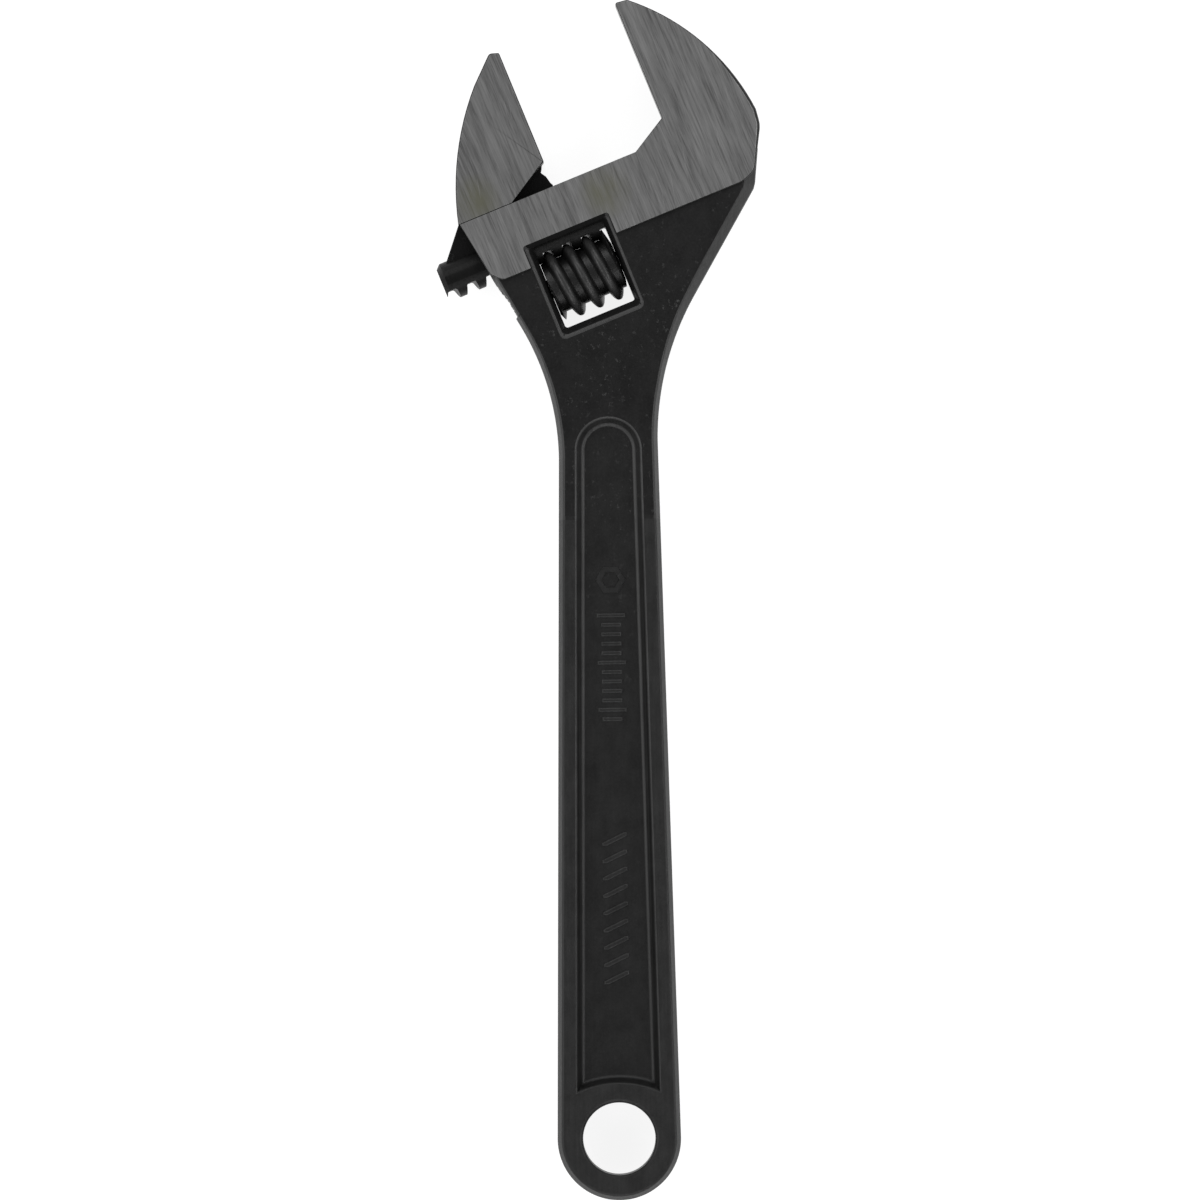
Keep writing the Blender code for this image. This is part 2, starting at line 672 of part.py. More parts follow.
def worm_pin(head, parts, tools):
    """The worm's axle: a slotted, larger front end and a plain shank."""
    start, end = pin_ends()
    length = end - start
    profile = [
        (0, length),
        (PIN_RADIUS - PIN_BEVEL, length),
        (PIN_RADIUS, length - PIN_BEVEL),
        (PIN_RADIUS, PIN_HEAD_LENGTH),
        (PIN_HEAD_RADIUS, PIN_HEAD_LENGTH),
        (PIN_HEAD_RADIUS, PIN_BEVEL),
        (PIN_HEAD_RADIUS - PIN_BEVEL, 0),
        (0, 0),
    ]
    pin = along_u(turned("worm_pin", profile, parts), head, start, WORM_V)
    half = PIN_SLOT_WIDTH / 2
    reach = PIN_HEAD_RADIUS + CUT_OVERRUN
    slot = place(box("pin_slot", (-half, -reach, -CUT_OVERRUN), (half, reach, PIN_SLOT_DEPTH), tools), pin)
    combine(pin, slot, "DIFFERENCE")
    finish(pin, (0.2, 0.2, 0.2), 0.35, 0.9)
    return pin


def worm_spring(head, parts):
    """The coil on the pin that takes up the worm's end play."""
    end_gap = SPRING_WIRE / 2 + SPRING_END_GAP
    low = WINDOW_FRONT_U + end_gap
    high = WORM_U - WORM_LENGTH / 2 + SPRING_POCKET_DEPTH - end_gap
    steps = round(SPRING_COILS * COIL_STEPS)
    curve = bpy.data.curves.new("worm_spring", "CURVE")
    curve.dimensions = "3D"
    curve.bevel_depth = SPRING_WIRE / 2 * MM
    curve.bevel_resolution = 2
    curve.use_fill_caps = True
    spline = curve.splines.new("POLY")
    spline.points.add(steps)
    for i, point in enumerate(spline.points):
        angle = 2 * math.pi * i / COIL_STEPS
        x, y = spring_radius() * math.cos(angle), spring_radius() * math.sin(angle)
        point.co = (x * MM, y * MM, (high - low) * i / steps * MM, 1)
    spring = bpy.data.objects.new("worm_spring", curve)
    parts.objects.link(spring)
    along_u(spring, head, low, WORM_V)
    finish(spring, (0.35, 0.35, 0.35), 0.3, 1.0)
    return spring


def lowest_and_highest(objects):
    bpy.context.view_layer.update()
    graph = bpy.context.evaluated_depsgraph_get()
    corners = []
    for obj in objects:
        evaluated = obj.evaluated_get(graph)
        mesh = evaluated.to_mesh()
        corners += [evaluated.matrix_world @ vertex.co for vertex in mesh.vertices]
        evaluated.to_mesh_clear()
    return [min(c[k] for c in corners) for k in range(3)], [max(c[k] for c in corners) for k in range(3)]


def main():
    remove_everything()
    parts = new_collection("adjustable_wrench")
    tools = new_collection("cutters")
    handle = bpy.data.objects.new("handle_frame", None)
    head = bpy.data.objects.new("head_frame", None)
    for empty in (handle, head):
        parts.objects.link(empty)
    place(head, handle, (*HEAD_AT, 0), (0, 0, HEAD_ANGLE))
    made = [
        wrench_body(handle, head, parts, tools),
        movable_jaw(head, parts, tools),
        adjusting_worm(head, parts, tools),
        worm_pin(head, parts, tools),
        worm_spring(head, parts),
    ]
    low, high = lowest_and_highest(made)
    # The part's origin is the middle of its footprint, on the surface that it lies on.
    handle.location = (-(low[0] + high[0]) / 2, -(low[1] + high[1]) / 2, -low[2])


main()
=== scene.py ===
"""The looks of an adjustable wrench of the 12 inch size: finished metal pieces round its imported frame.

Shapes are drawn in millimetres in two frames, as the part itself is, and each mesh is then moved into the
row's metres. Handle frame: the origin is the hanging hole's centre, and +Y runs up the handle. Head frame:
U runs along the jaw's travel, and is 0 on the fixed jaw's face; V is 0 on the surface the jaw slides on.
"""

import json
import random
from math import acos, atan, atan2, ceil, cos, degrees, floor, pi, radians, sin, sqrt, tan

import bmesh
import bpy
from mathutils import Matrix, Vector


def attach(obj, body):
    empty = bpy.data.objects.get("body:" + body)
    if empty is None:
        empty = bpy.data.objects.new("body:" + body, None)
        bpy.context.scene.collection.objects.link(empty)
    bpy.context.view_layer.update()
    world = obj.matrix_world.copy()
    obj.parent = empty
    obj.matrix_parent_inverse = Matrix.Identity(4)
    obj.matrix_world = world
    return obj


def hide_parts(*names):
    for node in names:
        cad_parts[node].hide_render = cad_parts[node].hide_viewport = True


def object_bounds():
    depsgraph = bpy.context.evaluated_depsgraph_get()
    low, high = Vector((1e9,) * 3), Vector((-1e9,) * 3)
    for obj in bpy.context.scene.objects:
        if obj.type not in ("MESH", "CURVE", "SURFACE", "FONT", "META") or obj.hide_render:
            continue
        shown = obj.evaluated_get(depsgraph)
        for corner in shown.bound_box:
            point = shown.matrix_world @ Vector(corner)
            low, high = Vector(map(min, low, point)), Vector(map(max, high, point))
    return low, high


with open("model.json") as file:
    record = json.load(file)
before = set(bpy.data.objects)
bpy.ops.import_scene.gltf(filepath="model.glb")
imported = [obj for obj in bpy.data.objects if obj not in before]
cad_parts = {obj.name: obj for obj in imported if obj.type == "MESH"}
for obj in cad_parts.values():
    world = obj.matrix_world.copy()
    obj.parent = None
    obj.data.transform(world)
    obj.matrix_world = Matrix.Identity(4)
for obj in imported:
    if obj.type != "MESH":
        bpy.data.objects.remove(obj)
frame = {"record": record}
cad_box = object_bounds()

MM = 0.001

# Handle
HEAD_AT = (17.0, 254.0)
HANDLE_END_RADIUS = 15.7
HANGING_HOLE_RADIUS = 9.2
HOLE_EDGE_ROUND = 1.0
NECK_HALF_WIDTH = 12.6
FRONT_NECK_Y = 173.0
FRONT_NECK_RADIUS = 67.0
BACK_NECK_Y = 177.0
BACK_NECK_RADIUS = 74.0
FLARE = radians(30)
HOLE_HALF_THICKNESS = 6.3
NECK_HALF_THICKNESS = 7.9
TAPER_TOP_Y = 158.0
TONGUE_STEP = 0.12  # the flats of the neck stand this proud of the rails
TONGUE_ENDS = (TAPER_TOP_Y - 0.6, TAPER_TOP_Y + 0.4)  # Y over which they do
EDGE_RUN = 1.2  # drafted forging edge, seen from above
EDGE_DEPTH = 2.6
BACK_EDGE_RUN = 2.7  # the same on the back, below the head
BACK_EDGE_ENDS = (190, 226)  # Y over which it widens
EDGE_ROUND = 0.9
SIDE_ROUND = 1.3
EDGE_LAP = 1.5  # how far the edge's curve reaches over the face and down the side
SIDE_LAP = 1.2
BLANK_TOP_DEPTH = 9.0
BLANK_TOP_WIDTH = 6.0
BLANK_SETBACK = 0.12  # keeps the blank's sides off the head plate's
BLANK_STEPS = 54

# Recessed panel
PANEL_TOP_Y = 175.0
PANEL_TOP_RADIUS = 8.15
PANEL_FOOT_Y = 14.2
PANEL_FOOT_RADIUS = 25.0
PANEL_FOOT_HALF_WIDTH = 10.6
PANEL_DEPTH = 3.0
PANEL_RAIL = 2.8  # from the handle's side to the panel's rim, at least
PANEL_WALL_RUN = 1.5
PANEL_RIM_ROUND = 1.1
PANEL_FLOOR_ROUND = 1.4
PANEL_RIM_LAP = 1.2  # how far the rim's and the floor's curves reach
PANEL_FLOOR_LAP = 1.4

# Raised marks on the panel's floor
MARK_HEIGHT = 0.35
MARK_SUNK = 0.3
MEASURE_BAR = ((-2.6, -0.55), (2.6, -0.55), (2.6, 0.55), (-2.6, 0.55))
SLANT_BAR = ((-3.2, -1.6), (-2.0, -1.6), (3.2, 0.9), (3.2, 1.9), (2.4, 1.9), (-3.2, -0.8))
NUT_SIGN_Y = 142.0
# The sign's section, from its inner wall over its top to its outer wall
NUT_SIGN = (
    (2.2, -MARK_SUNK), (2.2, 0), (2.35, MARK_HEIGHT), (3.55, MARK_HEIGHT), (3.8, 0), (3.8, -MARK_SUNK),
)

# Head
FACE_MARK_RISE = 22.0  # V of the record's mount on the fixed jaw's face
HEAD_HALF_THICKNESS = 8.9
LAND_DEPTH = 17.3
JAW_TIP_V = 37.0
JAW_TIP_WIDTH = 3.2
JAW_TIP_DROP = 0.4
THROAT_RISE = 5.5
THROAT_ANGLE = radians(30)
JAW_BACK = (22.9, -1.5)
JAW_BACK_RADIUS = 57.0
BACK_CORNER_Y = 241.6
BACK_EDGE_SLOPE = tan(radians(5.4))
BACK_EDGE_HEIGHT = 15.4
LAND_BACK_RISE = 4.0
LAND_CORNER = 2.6
EDGE_BREAK = 0.35  # rounding of the ground plate's edges
BACK_BREAK = 1.0  # the same on the back of the fixed jaw
JAW_BREAK = 0.4  # and on the moving jaw
SLIDE_BREAK = 0.12  # and on both sides of the surface the jaw slides on

# Moving jaw
JAW_OPENING = 32.0
JAW_FOOT_WIDTH = 26.2
JAW_TIP_LAND = 2.4
JAW_OUTER_RADIUS = 71.0
JAW_RELIEF_RISE = 6.7
JAW_TIP_RISE = 0.3
SLIDE_CLEARANCE = 0.25
FOOT_CLEARANCE = 0.05  # between the jaw's foot and the surface it slides on
BAR_RADIUS = 4.95
BAR_AXIS_DEPTH = 12.05
BAR_FRONT_REACH = 35.7
BAR_BACK_REACH = 11.0
BAR_END_CHAMFER = 1.2
BAR_BACK_CHAMFER = 0.5
WEB_HALF_THICKNESS = 2.5
WEB_SETBACK = 0.6
WEB_OVERLAP = 3.5
WEB_BREAK = 0.3
WEB_ROUGH_LOW = 0.45  # V where the web's rough front starts, and how far up it goes
WEB_ROUGH_RISE = 6
WEB_ROUGH_STEPS = 9
WEB_ROUGHNESS = 0.16
WEB_HOLLOW = 1.0  # how far the rough front falls back, and leads at its foot
WEB_LEAD = 0.55
CHANNEL_END_GAP = 1.2
RACK_PITCH = 5.2
RACK_DEPTH = 2.7
ROOT_FILL = 0.27  # left by the cutter's worn corners
RACK_TIP_WIDTH = 1.65
RACK_FLANK = radians(13)
FIRST_TOOTH = 0.5

# Worm, its window, pin and spring
WORM_TIP_RADIUS = 9.2
THREAD_DEPTH = 2.95
RIB_HALF_FOOT = 1.95
RIB_CREST_ROUND = 2.5  # the powers that round the rib over at its crest and in at its foot
RIB_FOOT_ROUND = 1.2
WORM_CORE_RADIUS = 6.78
WORM_FRONT_RADIUS = 7.0
WORM_BACK_RADIUS = 4.9
WORM_END_RUN = 1.0
WORM_END_CLEARANCE = 0.12
MESH_CLEARANCE = 0.3
WINDOW_BACK_U = -23.9
WINDOW_WIDTH = 19.0
WINDOW_TOP_V = -11.3
WINDOW_FOOT_GAP = 1.6
WINDOW_CORNER = 0.7
WINDOW_TOP_CORNER = 0.8
# The window's walls from the middle out: height, and how far the wall has flared by then
WINDOW_FLARE = ((5.7, 0.0), (7.3, 0.95), (7.55, 1.15), (7.75, 1.42), (7.9, 1.85), (8.9, 2.1), (12.9, 2.6))
WINDOW_FOOT_FLARE = 1.4  # how much more the foot and the front wall flare
WINDOW_FRONT_FLARE = 1.15
RIM_STARTS = 1.1  # the flare at which the window's wall, painted dark as shade, ends and its rim, painted bright as a highlight, begins
WINDOW_TOP_LEAN = 1.5  # how far the top wall leans in, over its bevel's height
PIN_RADIUS = 2.5
PIN_CLEARANCE = 0.12
PIN_HEAD_RADIUS = 3.0
PIN_HEAD_LENGTH = 7.5
PIN_SEAT_DEPTH = 7.7
PIN_END_GAP = 0.5
PIN_STEP_GAP = 0.2
PIN_BEVEL = 0.4
PIN_SLOT_WIDTH = 1.0
PIN_SLOT_DEPTH = 1.3
SPOT_FACE_RADIUS = 5.2
SPOT_FACE_DEPTH = 0.9
SCAR_TOP = -17.6  # V of the rough strip along the front edge
SCAR_LOW = -27.6
SCAR_DEPTH = 0.55
SCAR_NICK = 0.25  # how much deeper the nick at its foot is
SCAR_ROUGHNESS = 0.13
SCAR_STEPS = 18
SCAR_LEVELS = (-10.0, -6.5, -3.5, 0.0, 3.5, 6.5, 10.0)
SPRING_WIRE = 0.7
SPRING_COILS = 4.5
SPRING_POCKET_DEPTH = 6.0
SPRING_GAP = 0.35
SPRING_END_GAP = 0.3

CUT_OVERRUN = 4.0
TURNED_STEPS = 96
ARC_STEP = 2.5  # degrees
SHARP_ANGLE = 38  # degrees; edges bent further than this stay sharp
MARK_SHARP_ANGLE = 25
FLAT = 0.985  # how upright a face's normal is where the face counts as level

# Worked out from the above
SLIDE_FACE = -JAW_OPENING
BAR_V = -BAR_AXIS_DEPTH
RACK_ROOT_V = BAR_V - BAR_RADIUS + RACK_DEPTH
WORM_V = RACK_ROOT_V - MESH_CLEARANCE - WORM_TIP_RADIUS
WINDOW_FRONT_U = WINDOW_BACK_U - WINDOW_WIDTH
WINDOW_FOOT_V = WORM_V - WORM_TIP_RADIUS - WINDOW_FOOT_GAP
WORM_U = (WINDOW_FRONT_U + WINDOW_BACK_U) / 2
WORM_LENGTH = WINDOW_WIDTH - 2 * WORM_END_CLEARANCE
SPRING_RADIUS = PIN_RADIUS + SPRING_GAP + SPRING_WIRE / 2
POCKET_RADIUS = SPRING_RADIUS + SPRING_WIRE / 2 + SPRING_GAP

# Where the two frames lie in the row, from the record's mount on the fixed jaw's face
face_mount = next(m for m in frame["record"]["mounts"] if m["name"] == "fixed_jaw_face")
along_u = -Vector(face_mount["axis"])
along_v = Vector((0, 0, 1)).cross(along_u)
TURN = atan2(along_u.y, along_u.x)
head_origin = Vector(face_mount["pos_m"]) - along_v * FACE_MARK_RISE * MM
handle_origin = head_origin - Vector((*HEAD_AT, 0)) * MM
TO_ROW = Matrix.Translation(handle_origin) @ Matrix.Scale(MM, 4)
HEAD = Matrix.Translation((*HEAD_AT, 0)) @ Matrix.Rotation(TURN, 4, "Z")


# Outlines

def to_head(x, y):
    """A handle-frame point in the head frame."""
    point = HEAD.inverted() @ Vector((x, y, 0))
    return point.x, point.y


def arc(centre, radius, start, end, steps=None):
    """Points from the start angle to the end angle, in degrees, both ends included."""
    steps = steps or max(2, ceil(abs(end - start) / ARC_STEP))
    angles = [radians(start + (end - start) * i / steps) for i in range(steps + 1)]
    return [(centre[0] + radius * cos(a), centre[1] + radius * sin(a)) for a in angles]


def bulge(start, end, radius):
    """An arc from start to end that bows to the left of the way it goes."""
    middle = Vector(((start[0] + end[0]) / 2, (start[1] + end[1]) / 2))
    chord = Vector((end[0] - start[0], end[1] - start[1]))
    right = Vector((chord.y, -chord.x)).normalized()
    centre = middle + right * sqrt(radius**2 - (chord.length / 2) ** 2)
    first = degrees(atan2(start[1] - centre.y, start[0] - centre.x))
    last = degrees(atan2(end[1] - centre.y, end[0] - centre.x))
    sweep = (last - first + 180) % 360 - 180
    return arc(centre, radius, first, first + sweep)


def rounded(points, radii, closed=False, steps=5):
    """The points with corners turned into arcs. A radius of 0 keeps a corner sharp."""
    made = []
    for i, (point, radius) in enumerate(zip(points, radii)):
        inner = closed or 0 < i < len(points) - 1
        if not radius or not inner:
            made.append(tuple(point))
            continue
        here = Vector(point)
        back = (Vector(points[i - 1]) - here).normalized()
        ahead = (Vector(points[(i + 1) % len(points)]) - here).normalized()
        half = back.angle(ahead) / 2
        reach = radius / tan(half)
        centre = here + (back + ahead).normalized() * radius / sin(half)
        first, last = here + back * reach - centre, here + ahead * reach - centre
        for k in range(steps + 1):
            spoke = first.slerp(last, k / steps) if first.angle(last) > 1e-4 else first
            made.append(tuple(centre + spoke.normalized() * radius))
    return made


def inward(outline):
    """For each point of a counterclockwise outline, the mitred step that moves its edges in by one."""
    steps = []
    for i, point in enumerate(outline):
        here = Vector(point)
        before = (here - Vector(outline[i - 1])).normalized()
        after = (Vector(outline[(i + 1) % len(outline)]) - here).normalized()
        left_before, left_after = Vector((-before.y, before.x)), Vector((-after.y, after.x))
        middle = (left_before + left_after).normalized()
        steps.append(middle / max(middle.dot(left_after), 0.35))
    return steps


def ease(value, low, high):
    """0 below low, 1 above high, and smooth between."""
    share = min(max((value - low) / (high - low), 0), 1)
    return share * share * (3 - 2 * share)


# Solids, all in millimetres in the handle frame until they are finished

def placed(name, data):
    """An object of the data, in the scene."""
    made = bpy.data.objects.new(name, data)
    bpy.context.scene.collection.objects.link(made)
    return made


def empty_mesh(name):
    return placed(name, bpy.data.meshes.new(name))


def new_object(name, form, matrix=None):
    if matrix:
        bmesh.ops.transform(form, matrix=matrix, verts=form.verts)
    bmesh.ops.remove_doubles(form, verts=form.verts, dist=1e-4)
    bmesh.ops.triangulate(form, faces=form.faces)
    bmesh.ops.recalc_face_normals(form, faces=form.faces)
    made = empty_mesh(name)
    form.to_mesh(made.data)
    form.free()
    return made


def skin(form, rings, cyclic=True):
    """Faces between rings of equally many points. Returns the rings' vertices."""
    rows = [[form.verts.new(point) for point in ring] for ring in rings]
    for low, high in zip(rows, rows[1:]):
        for i in range(len(low) if cyclic else len(low) - 1):
            j = (i + 1) % len(low)
            form.faces.new((low[i], low[j], high[j], high[i]))
    return rows


def loft(name, rings, matrix=None):
    """A body through the rings, with a flat face over the first and the last."""
    form = bmesh.new()
    rows = skin(form, rings)
    form.faces.new(rows[0])
    form.faces.new(rows[-1])
    return new_object(name, form, matrix)


def turned(name, profile, matrix=None):
    """A closed half section of (radius, height) points, from the axis and back to it, turned about Z."""
    angles = [2 * pi * i / TURNED_STEPS for i in range(TURNED_STEPS)]
    rings = []
    for radius, height in profile[1:-1]:
        rings.append([(radius * cos(a), radius * sin(a), height) for a in angles])
    return loft(name, rings, matrix)


def stepped(name, top, steps, matrix):
    """A stepped round bore from its top down. Each step is a radius and the height of its foot."""
    profile = [(0, top)]
    level = top
    for radius, foot in steps:
        profile += [(radius, level), (radius, foot)]
        level = foot
    return turned(name, [*profile, (0, level)], matrix)


def box(name, low, high, matrix):
    corners = [(low[0], low[1]), (high[0], low[1]), (high[0], high[1]), (low[0], high[1])]
    return loft(name, [[(x, y, z) for x, y in corners] for z in (low[2], high[2])], matrix)


def along_travel(u, v):
    """Lays a piece that is turned about its own Z along the jaw's travel."""
    return HEAD @ Matrix.Translation((u, v, 0)) @ Matrix.Rotation(radians(90), 4, "Y")


def plate(name, outline, half, break_at, matrix):
    """A flat plate whose edges are rounded over, by as much as break_at says at each point."""
    steps = inward(outline)
    quarter = [radians(a) for a in (90, 72, 52, 32, 14, 0)]
    rings = []
    for side in (1, -1):
        levels = [(1 - cos(a), 1 - sin(a)) for a in quarter]
        for share_in, share_down in levels if side > 0 else reversed(levels):
            ring = []
            for (x, y), step in zip(outline, steps):
                width = break_at(x, y)
                at = Vector((x, y)) + step * width * share_in
                ring.append((at.x, at.y, side * (half - share_down * width)))
            rings.append(ring)
    return loft(name, rings, matrix)


def settle(obj):
    """Turns what the modifiers make into the object's own mesh."""
    bpy.context.view_layer.update()
    graph = bpy.context.evaluated_depsgraph_get()
    mesh = bpy.data.meshes.new_from_object(obj.evaluated_get(graph))
    obj.modifiers.clear()
    obj.data = mesh


def combine(obj, tools, operation):
    for tool in tools:
        boolean = obj.modifiers.new(tool.name, "BOOLEAN")
        boolean.operation = operation
        boolean.solver = "EXACT"
        boolean.object = tool
    settle(obj)
    for tool in tools:
        bpy.data.objects.remove(tool)


def clean(obj):
    """Merges what lies in one plane after cutting."""
    form = bmesh.new()
    form.from_mesh(obj.data)
    bmesh.ops.remove_doubles(form, verts=form.verts, dist=2e-4)
    bmesh.ops.dissolve_degenerate(form, dist=2e-4, edges=form.edges)
    bmesh.ops.dissolve_limit(
        form, angle_limit=radians(0.25), verts=form.verts, edges=form.edges, delimit={"MATERIAL"}
    )
    form.to_mesh(obj.data)
    form.free()


def finish(obj, body, replaced, materials, sharp_angle=SHARP_ANGLE):
    """Moves the mesh into the row, sets how it shades, hangs it on the body it rides on, and hides the
    imported part it stands for.
    """
    mesh = obj.data
    mesh.transform(TO_ROW)
    kinds = [face.material_index for face in mesh.polygons]
    mesh.materials.clear()
    for material in materials:
        mesh.materials.append(material)
    mesh.polygons.foreach_set("material_index", [min(kind, len(materials) - 1) for kind in kinds])
    mesh.shade_smooth()
    mesh.set_sharp_from_angle(angle=radians(sharp_angle))
    weighted = obj.modifiers.new("Flat faces stay flat", "WEIGHTED_NORMAL")
    weighted.keep_sharp = True
    settle(obj)
    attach(obj, body)
    if replaced:
        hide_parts(replaced)


# The forging

def flare_x(y, neck_y, radius):
    """Half width of the handle on one side: taper, neck arc, then the straight flare."""
    if y < neck_y:
        return HANDLE_END_RADIUS + (NECK_HALF_WIDTH - HANDLE_END_RADIUS) * y / neck_y
    rise = y - neck_y
    if rise < radius * sin(FLARE):
        return NECK_HALF_WIDTH + radius - sqrt(radius**2 - rise**2)
    past = rise - radius * sin(FLARE)
    return NECK_HALF_WIDTH + radius * (1 - cos(FLARE)) + past * tan(FLARE)


def front_x(y):
    return -flare_x(y, FRONT_NECK_Y, FRONT_NECK_RADIUS)


def back_x(y):
    flared = flare_x(min(y, BACK_CORNER_Y), BACK_NECK_Y, BACK_NECK_RADIUS)
    return flared + max(y - BACK_CORNER_Y, 0) * BACK_EDGE_SLOPE


def front_edge_y(v):
    """Y where the front flare crosses a line of constant V."""
    low, high = FRONT_NECK_Y, HEAD_AT[1]
    for _ in range(50):
        y = (low + high) / 2
        low, high = (y, high) if to_head(front_x(y), y)[1] < v else (low, y)
    return low


def front_edge_at(v):
    y = front_edge_y(v)
    return to_head(front_x(y), y)


LAND_FRONT_Y = front_edge_y(LAND_CORNER - LAND_DEPTH)
PIN_START = front_edge_at(WORM_V)[0] + SPOT_FACE_DEPTH + PIN_STEP_GAP
PIN_END = WINDOW_BACK_U + PIN_SEAT_DEPTH - PIN_END_GAP


def tapered_half(y):
    return HOLE_HALF_THICKNESS + (NECK_HALF_THICKNESS - HOLE_HALF_THICKNESS) * y / TAPER_TOP_Y


def half_thickness(y):
    """The neck is flat, and the rails below it taper and sit a little lower."""
    return NECK_HALF_THICKNESS if y > TAPER_TOP_Y else tapered_half(y) - TONGUE_STEP


def edge_path(run):
    """The rounded forging edge, as (inset from the side, drop from the face) from the face outwards."""
    corners = [(run + EDGE_LAP, 0), (run, 0), (0, EDGE_DEPTH), (0, EDGE_DEPTH + SIDE_LAP)]
    return rounded(corners, (0, EDGE_ROUND, SIDE_ROUND, 0))[1:]


def blank_front_x(y):
    """The front edge of the handle's blank, or the slanted top that it ends in, inside the head."""
    drop = (HEAD_AT[1] - y) * cos(TURN) - BLANK_TOP_DEPTH
    edge = front_x(y) + (BLANK_SETBACK if y > LAND_FRONT_Y else 0)
    return max(edge, HEAD_AT[0] - drop / sin(TURN))


def blank_back_x(y):
    return back_x(y) - (BLANK_SETBACK if y > BACK_CORNER_Y - BLANK_SETBACK else 0)


def handle_ring(y):
    left, right = blank_front_x(y), blank_back_x(y)
    half, widest = half_thickness(y), (right - left) / 5
    back_run = EDGE_RUN + (BACK_EDGE_RUN - EDGE_RUN) * ease(y, *BACK_EDGE_ENDS)
    on_right = edge_path(min(back_run, widest))
    on_left = edge_path(min(EDGE_RUN, widest))
    seam = (left + right) / 2
    ring = [(seam, y, half)]
    ring += [(right - inset, y, half - drop) for inset, drop in on_right]
    ring += [(right - inset, y, drop - half) for inset, drop in reversed(on_right)]
    ring.append((seam, y, -half))
    ring += [(left + inset, y, drop - half) for inset, drop in on_left]
    ring += [(left + inset, y, half - drop) for inset, drop in reversed(on_left)]
    return ring


def handle_blank():
    """The forging from its round end up to a slanted top that stops inside the head."""
    neck = min(FRONT_NECK_Y, BACK_NECK_Y)
    top = neck
    while blank_back_x(top) - blank_front_x(top) > BLANK_TOP_WIDTH:
        top += 0.5
    levels = [0, *TONGUE_ENDS]
    levels += [neck + (top - neck) * i / BLANK_STEPS for i in range(BLANK_STEPS + 1)]
    form = bmesh.new()
    rows = skin(form, [handle_ring(y) for y in levels])
    form.faces.new(rows[-1])
    sweep = []
    path = edge_path(EDGE_RUN)
    for i in range(int(180 / ARC_STEP) + 1):
        angle = radians(180 + ARC_STEP * i)
        spoke = [(0, 0, half_thickness(0))]
        for side, points in ((1, path), (-1, reversed(path))):
            for inset, drop in points:
                radius = HANDLE_END_RADIUS - inset
                x, y = radius * cos(angle), radius * sin(angle)
                spoke.append((x, y, side * (half_thickness(y) - drop)))
        sweep.append([*spoke, (0, 0, -half_thickness(0))])
    skin(form, sweep, cyclic=False)
    return new_object("wrench_forging", form)


def panel_outline(inset):
    """The panel's outline: round top, tapered sides with a stop at the neck, and a foot bowed up."""
    radius = PANEL_FOOT_RADIUS + inset
    half = PANEL_FOOT_HALF_WIDTH - inset
    corner = degrees(acos(half / radius))
    foot = arc((0, PANEL_FOOT_Y - PANEL_FOOT_RADIUS), radius, 180 - corner, corner, 16)
    top = arc((0, PANEL_TOP_Y), PANEL_TOP_RADIUS - inset, 0, 180, 48)
    share = (PANEL_TOP_Y - TAPER_TOP_Y) / (PANEL_TOP_Y - foot[0][1])
    stops = [(top[0][0] + (half - top[0][0]) * share, y) for y in TONGUE_ENDS]
    return [*stops, *top, *[(-x, y) for x, y in reversed(stops)], *foot]


def panel_cutter(side):
    """A pan with rounded rim and floor edges, for one face of the handle."""
    corners = [
        (PANEL_WALL_RUN + PANEL_FLOOR_LAP, -PANEL_DEPTH), (PANEL_WALL_RUN, -PANEL_DEPTH),
        (0, 0), (-PANEL_RIM_LAP, 0.1),
    ]
    path = rounded(corners, (0, PANEL_FLOOR_ROUND, PANEL_RIM_ROUND, 0), steps=6)
    rings = []
    for inset, rise in [*path, (-PANEL_RIM_LAP, CUT_OVERRUN)]:
        ring = []
        for x, y in panel_outline(inset):
            face = half_thickness(y)
            full = face - tapered_half(y) + PANEL_DEPTH
            ring.append((x, y, side * (face + (rise if rise > 0 else rise * full / PANEL_DEPTH))))
        rings.append(ring)
    return loft("panel", rings)


def head_outline():
    """The ground head in the head frame, counterclockwise: its corners, each with its radius."""
    throat_run = THROAT_RISE / tan(THROAT_ANGLE)
    tip = (JAW_TIP_WIDTH, JAW_TIP_V - JAW_TIP_DROP)
    back = bulge(tip, JAW_BACK, JAW_BACK_RADIUS)
    shoulder, low = [
        to_head(back_x(y), y) for y in (BACK_CORNER_Y + BACK_EDGE_HEIGHT, BACK_CORNER_Y + LAND_BACK_RISE)
    ]
    front_low = front_edge_at(LAND_CORNER - LAND_DEPTH)
    corners = [
        (front_edge_at(0), 0),
        (front_low, 1.2),
        ((front_low[0] + LAND_CORNER, -LAND_DEPTH), 2.0),
        ((low[0] - LAND_CORNER * 1.7, -LAND_DEPTH), 7.0),
        ((low[0] - 0.5, low[1]), 5.0),
        (shoulder, 7.0),
        *[(point, 0) for point in reversed(back)],
        ((0, JAW_TIP_V), 0.5),
        ((0, THROAT_RISE), 0.25),
        ((-throat_run, 0), 0.4),
    ]
    return rounded(*zip(*corners), closed=True)


